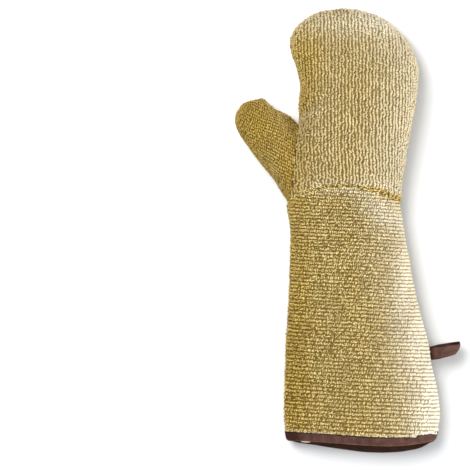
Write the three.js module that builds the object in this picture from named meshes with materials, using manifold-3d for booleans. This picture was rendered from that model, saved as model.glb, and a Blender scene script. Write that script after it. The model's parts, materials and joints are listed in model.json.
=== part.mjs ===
// A knitted terry oven glove with a long gauntlet, right hand, lying on its palm side.
// Millimetres. +Y points to the fingertips, +Z up from the surface it lies on, the thumb
// is on the -X side and the hanging loop on the +X side. The origin is the middle of the
// whole outline, on the surface.
//
// The glove is five sewn pieces: the hand, the thumb with its gusset, the gauntlet, the
// tape that binds the mouth, and the loop of the same tape. Hand, thumb and gauntlet are
// one hollow wall of terry, cut along the seams.

import * as THREE from 'three';
import { mergeVertices } from 'three/addons/utils/BufferGeometryUtils.js';
import Module from 'manifold-3d';

// Thicknesses and clearances
const TERRY = 4.5; // the looped wall
const BOUND_WALL = 3.0; // the same wall squeezed under the tape
const TAPE = 0.9; // the binding tape
const GAP = 0.3; // clearance between two pieces that are sewn together
const TAPE_WIDTH = 10.2; // what the binding covers, each side of the mouth's edge

// Roundness of the cross-sections: 2 is an ellipse, more is fuller at the shoulders
const FULLNESS = 2.3;

// Points round a cross-section
const OUTER_COLUMNS = 56;
const THUMB_COLUMNS = 32;

// The mouth's edge, where the tape folds over: both lips start at the corners and sag
// further out towards the middle, the lip underneath more than the one on top.
const MOUTH = { corner: -232.4, upperSag: 5.6, underSag: 12.1, skew: 1.8 };

// The seam between hand and gauntlet, an arc across the back of the wrist
const WRIST = { y: 30, arch: 16, centre: -5, halfSpan: 63.5 };

// Grooves that the seams pull into the cloth
const SEAM_GROOVE = { depth: 2.2, width: 4.5 };

// Cross-sections from the mouth to the fingertip. left and right are the edges seen from
// above, top the height, and under how far the section would reach below the surface if
// it were not lying on it: there the cloth is flat.
const BODY = [
  { y: -262, left: -61, right: 91, top: 31, under: -4 },
  { y: -246, left: -64, right: 94, top: 33, under: -4 },
  { y: -231, left: -67.5, right: 98, top: 35, under: -4 },
  { y: -216, left: -70, right: 101.5, top: 38, under: -5 },
  { y: -199, left: -71, right: 102.6, top: 43, under: -6 },
  { y: -178, left: -70.8, right: 100, top: 49, under: -7 },
  { y: -152, left: -70, right: 94, top: 55, under: -8 },
  { y: -122, left: -69, right: 89, top: 60, under: -9 },
  { y: -90, left: -66.8, right: 80, top: 63, under: -9 },
  { y: -58, left: -65.4, right: 73, top: 64, under: -9 },
  { y: -28, left: -64.6, right: 67.5, top: 63, under: -9 },
  { y: 0, left: -64.2, right: 62.6, top: 61, under: -9 },
  { y: 24, left: -68, right: 59.6, top: 58, under: -8 },
  { y: 45, left: -68.5, right: 59.8, top: 57, under: -8 },
  { y: 66, left: -70.5, right: 62.5, top: 58, under: -8 },
  { y: 88, left: -66.5, right: 66, top: 60, under: -8 },
  { y: 107, left: -57, right: 69.5, top: 61, under: -8 },
  { y: 121, left: -53.8, right: 72, top: 61.5, under: -8 },
  { y: 138, left: -54.4, right: 75, top: 62, under: -8 },
  { y: 159, left: -52.8, right: 77.8, top: 61, under: -8 },
  { y: 179, left: -57, right: 77.9, top: 59, under: -7 },
  { y: 196, left: -62.8, right: 72.8, top: 55, under: -5 },
  { y: 209, left: -63.8, right: 65.6, top: 51, under: -2 },
  { y: 219.5, left: -60, right: 56.8, top: 46.5, under: 1 },
  { y: 227.5, left: -53.4, right: 48.4, top: 42, under: 4.5 },
  { y: 234, left: -45.4, right: 38.8, top: 37.5, under: 8.5 },
  { y: 239, left: -36.4, right: 27.4, top: 33, under: 12.5 },
  { y: 242.7, left: -25, right: 14, top: 28.5, under: 16.5 },
  { y: 244.5, left: -6, right: -6, top: 22.5, under: 22.5 },
];

// Cross-sections of the thumb from inside the palm to its tip, each an upright slice
// between a point on the outer edge and a point on the edge beside the hand.
const THUMB = [
  { outerX: -60, outerY: 22, innerX: -20, innerY: 100, top: 52, under: -8 },
  { outerX: -71, outerY: 38, innerX: -38, innerY: 108, top: 52, under: -8 },
  { outerX: -80.5, outerY: 54, innerX: -52, innerY: 114.5, top: 51, under: -8 },
  { outerX: -94, outerY: 70, innerX: -60.5, innerY: 123.6, top: 48, under: -7 },
  { outerX: -104.5, outerY: 84, innerX: -69.5, innerY: 129, top: 46, under: -6 },
  { outerX: -112, outerY: 94, innerX: -77.5, innerY: 132.6, top: 44.5, under: -5 },
  { outerX: -118, outerY: 103, innerX: -84, innerY: 137.4, top: 43, under: -4 },
  { outerX: -122.3, outerY: 111, innerX: -88.2, innerY: 142, top: 41, under: -2 },
  { outerX: -124.2, outerY: 119.5, innerX: -92, innerY: 144.6, top: 38, under: 1 },
  { outerX: -123.8, outerY: 127, innerX: -99, innerY: 144.2, top: 34, under: 5 },
  { outerX: -121, outerY: 133.5, innerX: -108, innerY: 142.8, top: 29, under: 10.5 },
  { outerX: -116, outerY: 140, innerX: -116, innerY: 140, top: 20, under: 20 },
];

// The seam between thumb and hand, seen from above, from the gap between them down
// through the crotch to the wrist
const THUMB_SEAM = [
  { x: -75, y: 160 },
  { x: -66, y: 138 },
  { x: -58, y: 126 },
  { x: -54.3, y: 118 },
  { x: -54.8, y: 108 },
  { x: -57.3, y: 88 },
  { x: -60.1, y: 66 },
  { x: -62, y: 52 },
  { x: -65.5, y: 40 },
  { x: -72, y: 22 },
];

// Dents and swellings on the side that faces up: a depth below nought swells outwards.
// along is the length of the feature, across its width, turn its angle in plan.
const RELIEF = [
  { x: -36, y: 136, along: 26, across: 5, turn: 38, depth: 3.2 }, // fold at the crotch
  { x: -34, y: 88, along: 34, across: 16, turn: 85, depth: -2.6 }, // ball of the thumb
  { x: -20, y: 118, along: 26, across: 11, turn: 36, depth: -1.8 }, // pushed up beside it
  { x: 42, y: 37, along: 15, across: 5, turn: -20, depth: -1.8 }, // bunched at the wrist
  { x: 16, y: -100, along: 34, across: 5, turn: 90, depth: 1.4 }, // gauntlet's middle
  { x: -30, y: -45, along: 40, across: 14, turn: 80, depth: 1.5 }, // gauntlet, thumb side
  { x: 62, y: -132, along: 30, across: 10, turn: 10, depth: 1.6 }, // pulled by the loop
  { x: -36, y: -176, along: 34, across: 12, turn: 0, depth: 1.4 }, // above the mouth
  { x: 30, y: 178, along: 34, across: 16, turn: 30, depth: -1.6 }, // over the fingers
];

// The hanging loop: a strip folded back on itself, its two plies together at the seam
const LOOP = {
  x: 89, y: -136.4, z: 26, // where it leaves the side seam
  length: 38.1, // from inside the seam to the fold
  width: 12.5,
  opening: 9, // greatest height between the plies
  skew: 7.6, // how far the fold runs back at the edge nearer the mouth
  turn: 11, // towards the fingertips, degrees
  droop: 14, // below level, degrees
};

const COLOUR = { hand: 0xb89f6a, thumb: 0xa68a4e, gauntlet: 0xb59b62, tape: 0x5b3b34 };

const { clamp, degToRad, lerp, smoothstep } = THREE.MathUtils;
const wasm = await Module();
wasm.setup();

// One column of a table at a row position that need not be whole, smooth through the rows
function column(rows, name, position) {
  const last = rows.length - 1;
  const i = clamp(Math.floor(position), 0, last - 1);
  const t = position - i;
  const row = (k) => rows[clamp(k, 0, last)][name];
  const [a, b, c, d] = [row(i - 1), row(i), row(i + 1), row(i + 2)];
  const cubic = 3 * (b - c) + d - a;
  const square = 2 * a - 5 * b + 4 * c - d;
  return b + 0.5 * t * (c - a + t * (square + t * cubic));
}

// The row position of the body's section at station y, by halving
function positionAt(y) {
  let low = 0;
  let high = BODY.length - 1;
  for (let step = 0; step < 40; step += 1) {
    const middle = (low + high) / 2;
    if (column(BODY, 'y', middle) < y) low = middle;
    else high = middle;
  }
  return (low + high) / 2;
}

// Signed power, which turns a circle's sine or cosine into a fuller one
const fuller = (value) => Math.sign(value) * Math.abs(value) ** (2 / FULLNESS);

// Height of the wrist seam's arc at a place across the glove
const wristSeam = (x) => WRIST.y + WRIST.arch * (1 - ((x - WRIST.centre) / WRIST.halfSpan) ** 2);

// How far the cloth is pushed in at a place seen from above
function relief(x, y) {
  let depth = 0;
  for (const spot of RELIEF) {
    const turn = degToRad(spot.turn);
    const along = (x - spot.x) * Math.cos(turn) + (y - spot.y) * Math.sin(turn);
    const across = (y - spot.y) * Math.cos(turn) - (x - spot.x) * Math.sin(turn);
    depth += spot.depth * Math.exp(-((along / spot.along) ** 2) - (across / spot.across) ** 2);
  }
  return depth;
}

// A point of the body at station y and angle round it, inset below the outer surface.
// Angle 0 is the loop's side and a quarter turn the side that faces up.
function bodyPoint(y, angle, inset) {
  const position = positionAt(y);
  const [left, right] = [column(BODY, 'left', position), column(BODY, 'right', position)];
  const [top, under] = [column(BODY, 'top', position), column(BODY, 'under', position)];
  const across = Math.max((right - left) / 2 - inset, 0.2) * fuller(Math.cos(angle));
  const up = Math.max((top - under) / 2 - inset, 0.2) * fuller(Math.sin(angle));
  const x = (left + right) / 2 + across;
  const z = (top + under) / 2 + up;
  const reach = Math.hypot(across, up);
  const groove = SEAM_GROOVE.depth * Math.exp(-(((y - wristSeam(x)) / SEAM_GROOVE.width) ** 2));
  const push = groove + relief(x, y) * smoothstep(Math.sin(angle), 0, 0.6);
  const drop = (push * up) / reach;
  return new THREE.Vector3(x - (push * across) / reach, y, Math.max(z - drop, inset));
}

// A ring of the body whose station follows a function of the place across the glove
function bodyRing(station, inset, columns = OUTER_COLUMNS) {
  const ring = [];
  for (let i = 0; i < columns; i += 1) {
    const angle = (2 * Math.PI * i) / columns;
    let point = bodyPoint(station(0, angle), angle, inset);
    for (let pass = 0; pass < 4; pass += 1) {
      point = bodyPoint(station(point.x, angle), angle, inset);
    }
    ring.push(point);
  }
  return ring;
}

// Where the tape folds over the mouth's edge, as a station
function mouthEdge(x, angle) {
  const left = BODY[2].left;
  const right = BODY[2].right;
  const share = clamp((x - left) / (right - left), 0, 1) ** MOUTH.skew;
  const sag = Math.sin(angle) > 0 ? MOUTH.upperSag : MOUTH.underSag;
  return MOUTH.corner - sag * Math.sin(Math.PI * share);
}

// Closed surface through a list of rings with the same number of points. It ends in a
// point at each end, or runs back to its first ring.
function loft(rings, ends) {
  const columns = rings[0].length;
  const positions = rings.flat().flatMap((point) => point.toArray());
  const faces = [];
  const joins = ends ? rings.length - 1 : rings.length;
  for (let r = 0; r < joins; r += 1) {
    const here = r * columns;
    const next = ((r + 1) % rings.length) * columns;
    for (let c = 0; c < columns; c += 1) {
      const d = (c + 1) % columns;
      faces.push(here + c, next + c, here + d, here + d, next + c, next + d);
    }
  }
  if (ends) {
    const last = (rings.length - 1) * columns;
    const first = positions.length / 3;
    positions.push(...ends[0].toArray(), ...ends[1].toArray());
    for (let c = 0; c < columns; c += 1) {
      const d = (c + 1) % columns;
      faces.push(first, c, d, last + d, last + c, first + 1);
    }
  }
  return toGeometry(positions, faces);
}

function toGeometry(positions, faces) {
  const geometry = new THREE.BufferGeometry();
  geometry.setAttribute('position', new THREE.Float32BufferAttribute(positions, 3));
  geometry.setIndex(faces);
  return geometry;
}

// To and from the library that joins and cuts solids
function toSolid(geometry) {
  const bare = geometry.clone();
  bare.deleteAttribute('normal');
  bare.deleteAttribute('uv');
  const merged = mergeVertices(bare, 1e-4);
  const mesh = new wasm.Mesh({
    numProp: 3,
    vertProperties: new Float32Array(merged.attributes.position.array),
    triVerts: new Uint32Array(merged.index.array),
  });
  return new wasm.Manifold(mesh);
}

function fromSolid(solid) {
  const mesh = solid.getMesh();
  const merged = mergeVertices(toGeometry([...mesh.vertProperties], [...mesh.triVerts]), 1e-3);
  return merged;
}

// Middle of a ring, where a closed end comes to a point
function middle(ring) {
  const sum = new THREE.Vector3();
  for (const point of ring) sum.add(point);
  return sum.divideScalar(ring.length);
}

// Stations of the hand's rings: a distance above the wrist seam that eases into straight
// sections, then the table's own rows round the fingertips
const HAND_STEPS = [0, 1.5, 3.5, 6.5, 11, 18, 27, 38, 50, 62, 74, 86, 98, 111, 125];
const TIP_ROWS = [20, 21, 22, 23, 24, 25, 26, 27, 27.6];
const ARC_FADE = 90;

// The ring that lies a distance past the wrist seam, level again once it is far from it
function seamRing(distance, inset) {
  const fade = 1 - smoothstep(Math.abs(distance), 0, ARC_FADE);
  const level = WRIST.y + WRIST.arch * 0.6;
  return bodyRing((x) => distance + lerp(level, wristSeam(x), fade), inset);
}

// Rings of the body's cap at the fingertips, the inner ones drawn back by the wall
function tipRing(row, inset) {
  const start = column(BODY, 'y', TIP_ROWS[0]);
  const end = BODY[BODY.length - 1].y;
  const y = column(BODY, 'y', row);
  const back = inset * ((y - start) / (end - start)) ** 2;
  const ring = bodyRing(() => y, inset);
  for (const point of ring) point.y -= back;
  return ring;
}

const tipPoint = (inset) => {
  const tip = BODY[BODY.length - 1];
  return new THREE.Vector3(tip.left, tip.y - inset, tip.top);
};

// The hand's surface from a first ring to the fingertips. The inside has half the rings.
function handSurface(inset, firstStep) {
  const wanted = (_, i) => inset === 0 || i % 2 === 0;
  const rings = HAND_STEPS.filter(wanted).map((step) => seamRing(step || firstStep, inset));
  const tips = TIP_ROWS.filter(wanted).map((row) => tipRing(row, inset));
  return [...rings, ...tips];
}

// Hand and palm as closed solids, outside and inside, that reach past the wrist seam
const PAST_SEAM = -12;
const handOutside = handSurface(0, PAST_SEAM);
const handInside = handSurface(TERRY, PAST_SEAM);
const handFull = toSolid(loft(handOutside, [middle(handOutside[0]), tipPoint(0)]));
const handHollow = toSolid(loft(handInside, [middle(handInside[0]), tipPoint(TERRY)]));

// The thumb's ring at a row, its inner one drawn in along the slice and back at the tip
function thumbRing(row, inset) {
  const at = (name) => column(THUMB, name, row);
  const outer = new THREE.Vector2(at('outerX'), at('outerY'));
  const inner = new THREE.Vector2(at('innerX'), at('innerY'));
  const centre = outer.clone().add(inner).multiplyScalar(0.5);
  const half = inner.clone().sub(outer).multiplyScalar(0.5);
  const span = Math.max(half.length() - inset, 0.2);
  half.normalize();
  const height = Math.max((at('top') - at('under')) / 2 - inset, 0.2);
  const ahead = new THREE.Vector2(-half.y, half.x);
  const back = inset * clamp((row - 7) / (THUMB.length - 8), 0, 1) ** 2;
  const ring = [];
  for (let i = 0; i < THUMB_COLUMNS; i += 1) {
    const angle = (2 * Math.PI * i) / THUMB_COLUMNS;
    const across = span * fuller(Math.cos(angle));
    const z = (at('top') + at('under')) / 2 + height * fuller(Math.sin(angle));
    const x = centre.x + half.x * across - ahead.x * back;
    const y = centre.y + half.y * across - ahead.y * back;
    ring.push(new THREE.Vector3(x, y, Math.max(z, inset)));
  }
  return ring;
}

function thumbSolid(inset) {
  const rings = [];
  for (let row = 0; row < THUMB.length - 1; row += 1) rings.push(thumbRing(row, inset));
  rings.push(thumbRing(THUMB.length - 1.4, inset));
  const tip = THUMB[THUMB.length - 1];
  const end = new THREE.Vector3(tip.outerX + inset * 0.6, tip.outerY - inset * 0.8, tip.top);
  return toSolid(loft(rings, [middle(rings[0]), end]));
}

// An upright solid over a region seen from above
function upright(points) {
  const [low, high] = [-20, 120];
  const shape = new THREE.Shape(points);
  const geometry = new THREE.ExtrudeGeometry(shape, { depth: high - low, bevelEnabled: false });
  geometry.translate(0, 0, low);
  return toSolid(geometry);
}

// Everything on the thumb's side of its seam, moved by half the clearance
function thumbSide(shift) {
  const far = -400;
  const knots = THUMB_SEAM.map((knot) => new THREE.Vector2(knot.x + shift, knot.y));
  const seam = new THREE.SplineCurve(knots).getPoints(36);
  return upright([new THREE.Vector2(far, knots[0].y), ...seam, new THREE.Vector2(far, 0)]);
}

// Everything past the wrist seam towards the fingers
function pastWrist(shift) {
  const [start, end, steps, far] = [-140, 130, 54, 400];
  const points = [];
  for (let i = 0; i <= steps; i += 1) {
    const x = lerp(start, end, i / steps);
    points.push(new THREE.Vector2(x, wristSeam(x) + shift));
  }
  return upright([...points, new THREE.Vector2(end, far), new THREE.Vector2(start, far)]);
}

// The hand: outside and inside meet at the wrist, and the seam opens it to the thumb
function makeHand() {
  const outside = handSurface(0, GAP / 2);
  const inside = handSurface(TERRY, GAP / 2).reverse();
  const shell = toSolid(loft([...inside, ...outside], [tipPoint(TERRY), tipPoint(0)]));
  return fromSolid(shell.subtract(thumbSide(GAP / 2)));
}

// The thumb and its gusset, with the strip of palm that lies on its side of the seam
function makeThumb() {
  const wall = handFull.add(thumbSolid(0)).subtract(handHollow.add(thumbSolid(TERRY)));
  return fromSolid(wall.intersect(thumbSide(-GAP / 2)).intersect(pastWrist(GAP / 2)));
}

// Radius of the tape's fold over the squeezed edge of the wall
const FOLD = BOUND_WALL / 2 + GAP + TAPE;

// The gauntlet, from the seam down to the edge that the tape covers. back is the distance
// from the mouth's edge, inset how deep the surface lies there.
const MOUTH_OUTSIDE = [
  { back: FOLD, inset: TAPE + GAP },
  { back: TAPE_WIDTH - 2, inset: TAPE + GAP },
  { back: TAPE_WIDTH + GAP, inset: TAPE + GAP },
  { back: TAPE_WIDTH + 2, inset: 0 },
  { back: TAPE_WIDTH + 7, inset: 0 },
];
const MOUTH_INSIDE = [
  { back: FOLD, inset: TAPE + GAP + BOUND_WALL },
  { back: TAPE_WIDTH + GAP, inset: TAPE + GAP + BOUND_WALL },
  { back: TAPE_WIDTH + 4, inset: TERRY },
];
const GAUNTLET_SHARES = [0.08, 0.17, 0.26, 0.35, 0.44, 0.53, 0.62, 0.71, 0.8, 0.87];
const GAUNTLET_STEPS = [-17, -10.5, -6, -3.2, -1.4, -GAP / 2];

const mouthRing = (row) => bodyRing((x, angle) => mouthEdge(x, angle) + row.back, row.inset);

// A ring part of the way from the mouth to the wrist seam
function betweenRing(share, inset) {
  const station = (x, angle) => {
    const low = mouthEdge(x, angle) + TAPE_WIDTH + 7;
    const high = lerp(WRIST.y + WRIST.arch * 0.6, wristSeam(x), smoothstep(share, 0.5, 1)) - 17;
    return lerp(low, high, share);
  };
  return bodyRing(station, inset);
}

function makeGauntlet() {
  const outside = [
    ...MOUTH_OUTSIDE.map(mouthRing),
    ...GAUNTLET_SHARES.map((share) => betweenRing(share, 0)),
    ...GAUNTLET_STEPS.map((step) => seamRing(step, 0)),
  ];
  const inside = [
    ...MOUTH_INSIDE.map(mouthRing),
    ...GAUNTLET_SHARES.filter((_, i) => i % 2 === 1).map((share) => betweenRing(share, TERRY)),
    ...GAUNTLET_STEPS.filter((_, i) => i % 2 === 1).map((step) => seamRing(step, TERRY)),
  ];
  return loft([...outside, ...inside.reverse()]);
}

// The tape folded over the mouth's edge: a leg outside, a half-round fold and a leg inside
function makeBinding() {
  const steps = 4;
  const rings = [];
  const add = (back, inset) => rings.push(mouthRing({ back, inset }));
  const arc = (radius, angle) => add(FOLD - radius * Math.sin(angle), FOLD - radius * Math.cos(angle));
  add(TAPE_WIDTH, 2 * FOLD);
  for (let i = 0; i <= steps; i += 1) arc(FOLD, Math.PI * (1 - i / steps));
  add(TAPE_WIDTH, 0);
  add(TAPE_WIDTH, TAPE);
  for (let i = 0; i <= steps; i += 1) arc(FOLD - TAPE, (Math.PI * i) / steps);
  add(TAPE_WIDTH, 2 * FOLD - TAPE);
  return loft(rings);
}

// The loop's side view: two plies that part from the seam and meet in a round fold
function makeLoop() {
  const half = LOOP.opening / 2;
  const rootLength = 9;
  const outline = (grow) => [
    new THREE.Vector2(rootLength, grow + GAP / 2),
    new THREE.Vector2(LOOP.length * 0.5, half * 0.75 + grow),
    new THREE.Vector2(LOOP.length - half - TAPE, half + grow),
    new THREE.Vector2(LOOP.length - TAPE + grow, 0),
    new THREE.Vector2(LOOP.length - half - TAPE, -half - grow),
    new THREE.Vector2(LOOP.length * 0.5, -half * 0.75 - grow),
    new THREE.Vector2(rootLength, -grow - GAP / 2),
  ];
  const outer = new THREE.SplineCurve(outline(TAPE)).getPoints(24);
  const root = [new THREE.Vector2(0, -TAPE), new THREE.Vector2(0, TAPE)];
  const shape = new THREE.Shape([...outer, ...root].reverse());
  const eye = [new THREE.Vector2(rootLength - 1, 0)];
  shape.holes.push(new THREE.Path([...eye, ...new THREE.SplineCurve(outline(0)).getPoints(24)]));
  const sweep = { depth: LOOP.width, steps: 4, bevelEnabled: false };
  const geometry = new THREE.ExtrudeGeometry(shape, sweep);
  geometry.translate(0, 0, -LOOP.width / 2);
  geometry.rotateX(Math.PI / 2);
  const place = geometry.attributes.position;
  for (let i = 0; i < place.count; i += 1) {
    const across = 0.5 - place.getY(i) / LOOP.width;
    const back = (LOOP.skew * across ** 2 * place.getX(i)) / LOOP.length;
    place.setX(i, place.getX(i) - back);
  }
  geometry.rotateY(degToRad(LOOP.droop));
  geometry.rotateZ(degToRad(LOOP.turn));
  geometry.translate(LOOP.x, LOOP.y, LOOP.z);
  const nearSide = [-200, -160, -145, -132, -120, -100, -60].map((y) => bodyRing(() => y, -GAP));
  const side = toSolid(loft(nearSide, [middle(nearSide[0]), middle(nearSide[nearSide.length - 1])]));
  return fromSolid(toSolid(geometry).subtract(side));
}

function material(color, roughness) {
  return new THREE.MeshStandardMaterial({ color, roughness, metalness: 0, flatShading: true });
}

function piece(name, geometry, look) {
  geometry.computeVertexNormals();
  const mesh = new THREE.Mesh(geometry, look);
  mesh.name = name;
  return mesh;
}

const glove = new THREE.Group();
glove.name = 'oven_glove';
glove.add(piece('hand', makeHand(), material(COLOUR.hand, 1)));
glove.add(piece('thumb', makeThumb(), material(COLOUR.thumb, 1)));
glove.add(piece('gauntlet', makeGauntlet(), material(COLOUR.gauntlet, 1)));
glove.add(piece('cuff_binding', makeBinding(), material(COLOUR.tape, 0.85)));
glove.add(piece('hanging_loop', makeLoop(), material(COLOUR.tape, 0.85)));

export default glove;
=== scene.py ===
# %% [markdown]
# An oven glove of looped terry knit, lying on a table. The real glove is knitted from thick
# cotton yarn: a ground fabric that is hardly seen, and thousands of fat loops that stand out
# of it in ribs. The ribs run up the hand, round the gauntlet, and aslant over the thumb.
# We follow that: first a smooth hollow ground for each piece, then real loops of yarn laid along
# curves on it, so that the gaps between the loops go dark by themselves, deepened by painted shade
# in the yarn's colour.

# %% The packed frame
import json
import math

import bpy
import numpy as np
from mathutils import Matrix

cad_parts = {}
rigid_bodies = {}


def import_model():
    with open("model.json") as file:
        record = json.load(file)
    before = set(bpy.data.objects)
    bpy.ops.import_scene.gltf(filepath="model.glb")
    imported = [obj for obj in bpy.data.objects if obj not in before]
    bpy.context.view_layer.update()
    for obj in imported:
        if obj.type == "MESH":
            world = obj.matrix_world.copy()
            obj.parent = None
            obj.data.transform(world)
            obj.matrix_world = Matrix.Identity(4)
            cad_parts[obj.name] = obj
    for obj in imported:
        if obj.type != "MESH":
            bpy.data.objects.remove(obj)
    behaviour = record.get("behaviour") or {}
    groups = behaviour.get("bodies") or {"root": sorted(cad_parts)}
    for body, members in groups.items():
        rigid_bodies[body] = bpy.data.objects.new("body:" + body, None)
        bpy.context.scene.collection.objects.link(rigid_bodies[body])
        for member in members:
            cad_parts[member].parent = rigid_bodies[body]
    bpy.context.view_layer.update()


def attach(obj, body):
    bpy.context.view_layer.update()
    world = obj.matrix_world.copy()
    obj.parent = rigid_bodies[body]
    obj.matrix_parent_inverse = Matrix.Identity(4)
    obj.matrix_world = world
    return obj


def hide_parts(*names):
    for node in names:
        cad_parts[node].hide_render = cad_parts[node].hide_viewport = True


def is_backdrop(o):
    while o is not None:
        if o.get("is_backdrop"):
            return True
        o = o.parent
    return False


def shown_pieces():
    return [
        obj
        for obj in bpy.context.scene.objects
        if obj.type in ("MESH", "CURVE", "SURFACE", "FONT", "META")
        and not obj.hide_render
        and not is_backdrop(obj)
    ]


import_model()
MM = 0.001  # tables and curves are in millimetres, and meshes in metres
rng = np.random.default_rng(7)

# %% [markdown]
# The camera comes first. The photograph looks straight down, from far enough away that the
# glove shows no perspective worth the name, so a long lens stands high above the table. The
# glove lies in the right half of the picture, as it does in the photograph.

# %% Camera
PIXEL = 1.1 * MM  # what one pixel of the photograph spans on the glove
PICTURE = 470  # the picture's width and height in pixels
ORIGIN_PIXEL = (347.6, 229.75)  # the pixel that shows the frame's origin
CAMERA_HEIGHT = 3.0
FOCUS_HEIGHT = 0.025  # the height at which the scale holds
SENSOR = 36.0


def make_camera():
    """A camera that looks down. Its focal length is the sensor times the distance over the
    width that it must show."""
    data = bpy.data.cameras.new("camera")
    data.sensor_width = SENSOR
    data.lens = SENSOR * (CAMERA_HEIGHT - FOCUS_HEIGHT) / (PICTURE * PIXEL)
    camera = bpy.data.objects.new("camera", data)
    across = (PICTURE / 2 - ORIGIN_PIXEL[0]) * PIXEL
    up = (ORIGIN_PIXEL[1] - PICTURE / 2) * PIXEL
    camera.location = (across, up, CAMERA_HEIGHT)
    bpy.context.scene.collection.objects.link(camera)
    bpy.context.scene.camera = camera
    return camera


camera = make_camera()
print("camera:", round(camera.data.lens), "mm lens at", tuple(round(v, 3) for v in camera.location))

# %% [markdown]
# The glove's form is told by sections across it, from the mouth to the fingertip. Each row
# says where the section is, its two edges, how high it stands, and how far it would reach
# below the table if it were not lying on it. The thumb has a table of its own, with upright
# slices between its outer and its inner edge. A sculpted mesh could do the same, but a few
# rows of numbers are easier to change and give every other part of the script a surface to
# stand on.

# %% Sections of the body, in millimetres
BODY_ROWS = np.array([
    # y, left, right, top, under
    (-262, -61, 91, 31, -4),
    (-246, -64, 94, 33, -4),
    (-231, -67.5, 98, 35, -4),
    (-216, -70, 101.5, 38, -5),
    (-199, -71, 102.6, 43, -6),
    (-178, -70.8, 100, 49, -7),
    (-152, -70, 94, 55, -8),
    (-122, -69, 89, 60, -9),
    (-90, -66.8, 80, 63, -9),
    (-58, -65.4, 73, 64, -9),
    (-28, -64.6, 67.5, 63, -9),
    (0, -64.2, 62.6, 61, -9),
    (24, -68, 59.6, 58, -8),
    (45, -68.5, 59.8, 57, -8),
    (66, -70.5, 62.5, 58, -8),
    (88, -66.5, 66, 60, -8),
    (107, -57, 69.5, 61, -8),
    (121, -53.8, 72, 61.5, -8),
    (138, -54.4, 75, 62, -8),
    (159, -52.8, 77.8, 61, -8),
    (179, -57, 77.9, 59, -7),
    (196, -62.8, 72.8, 55, -5),
    (209, -63.8, 65.6, 51, -2),
    (219.5, -60, 56.8, 46.5, 1),
    (227.5, -53.4, 48.4, 42, 4.5),
    (234, -45.4, 38.8, 37.5, 8.5),
    (239, -36.4, 27.4, 33, 12.5),
    (242.7, -25, 14, 28.5, 16.5),
    (244.5, -6, -6, 22.5, 22.5),
], dtype=float)
TIP_Y = BODY_ROWS[-1, 0]
FULLNESS = 2.3  # exponent of the sections: 2 is an ellipse
TERRY = 4.5  # thickness of the cloth, loops and all
PILE = 2.2  # how far the loops of yarn stand out of the ground fabric
print("body:", len(BODY_ROWS), "sections up to", TIP_Y, "mm")

# %% Slices of the thumb, and the seam between thumb and hand
THUMB_ROWS = np.array([
    # outer x, outer y, inner x, inner y, top, under
    (-60, 22, -20, 100, 52, -8),
    (-71, 38, -38, 108, 52, -8),
    (-80.5, 54, -52, 114.5, 51, -8),
    (-94, 70, -60.5, 123.6, 48, -7),
    (-104.5, 84, -69.5, 129, 46, -6),
    (-112, 94, -77.5, 132.6, 44.5, -5),
    (-118, 103, -84, 137.4, 43, -4),
    (-122.3, 111, -88.2, 142, 41, -2),
    (-124.2, 119.5, -92, 144.6, 38, 1),
    (-123.8, 127, -99, 144.2, 34, 5),
    (-121, 133.5, -108, 142.8, 29, 10.5),
    (-116, 140, -116, 140, 20, 20),
], dtype=float)
THUMB_SEAM = np.array([
    # x, y, from the wrist up to the gap between thumb and hand
    (-63.5, 22),
    (-62.6, 36),
    (-61.6, 50),
    (-60.2, 66),
    (-58, 84),
    (-56, 102),
    (-54.3, 118),
    (-58, 126),
    (-66, 138),
    (-75, 160),
], dtype=float)
print("thumb:", len(THUMB_ROWS), "slices")

# %% Dents and swellings
RELIEF = np.array([
    # x, y, length, width, turn in degrees, depth: dents in, swellings out below nought
    (-36, 136, 26, 5, 38, 3.2),
    (-34, 88, 34, 16, 85, -2.6),
    (-20, 118, 26, 11, 36, -1.8),
    (42, 37, 15, 5, -20, -1.8),
    (16, -100, 34, 5, 90, 1.4),
    (-30, -45, 40, 14, 80, 1.5),
    (62, -132, 30, 10, 10, 1.6),
    (-36, -176, 34, 12, 0, 1.4),
    (30, 178, 34, 16, 30, -1.6),
], dtype=float)


def bells(table, x, y):
    """Sum of long bell shapes, each turned: its height falls as e to the minus square of the
    distance over its length one way and over its width the other way."""
    total = np.zeros(np.broadcast(x, y).shape)
    for cx, cy, length, width, turn, amount in table:
        c, s = math.cos(math.radians(turn)), math.sin(math.radians(turn))
        along = (x - cx) * c + (y - cy) * s
        across = (y - cy) * c - (x - cx) * s
        total += amount * np.exp(-((along / length) ** 2) - (across / width) ** 2)
    return total


print("relief:", len(RELIEF), "dents and swellings")

# %% [markdown]
# Between the rows the values run on a smooth cubic that passes through each of them. Two
# more shapes are used everywhere: a step with soft ends, and a power that turns an ellipse
# into the fuller round of a stuffed sleeve.

# %% Curves through tables


def through_rows(table, position):
    """Cubic through the rows of a table (Catmull-Rom): at a share t of the way from one row
    to the next the value is a cubic whose slope at each row is half the step between the
    rows on either side."""
    last = len(table) - 1
    position = np.asarray(position, float)
    i = np.clip(np.floor(position).astype(int), 0, last - 1)
    t = (position - i)[..., None]
    a, b, c, d = (table[np.clip(i + k, 0, last)] for k in (-1, 0, 1, 2))
    cubic = 3 * (b - c) + d - a
    square = 2 * a - 5 * b + 4 * c - d
    return b + 0.5 * t * (c - a + t * (square + t * cubic))


def smooth(value, low, high):
    """Smoothstep: 0 below low, 1 above high, and 3t² − 2t³ between them."""
    t = np.clip((value - low) / (high - low), 0, 1)
    return t * t * (3 - 2 * t)


def fuller(value):
    """Signed power that turns a sine or cosine into that of a fuller, squarer round."""
    return np.sign(value) * np.abs(value) ** (2 / FULLNESS)


DENSE = np.linspace(0, len(BODY_ROWS) - 1, 6000)  # positions at which stations are known
DENSE_Y = through_rows(BODY_ROWS, DENSE)[:, 0]


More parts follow.
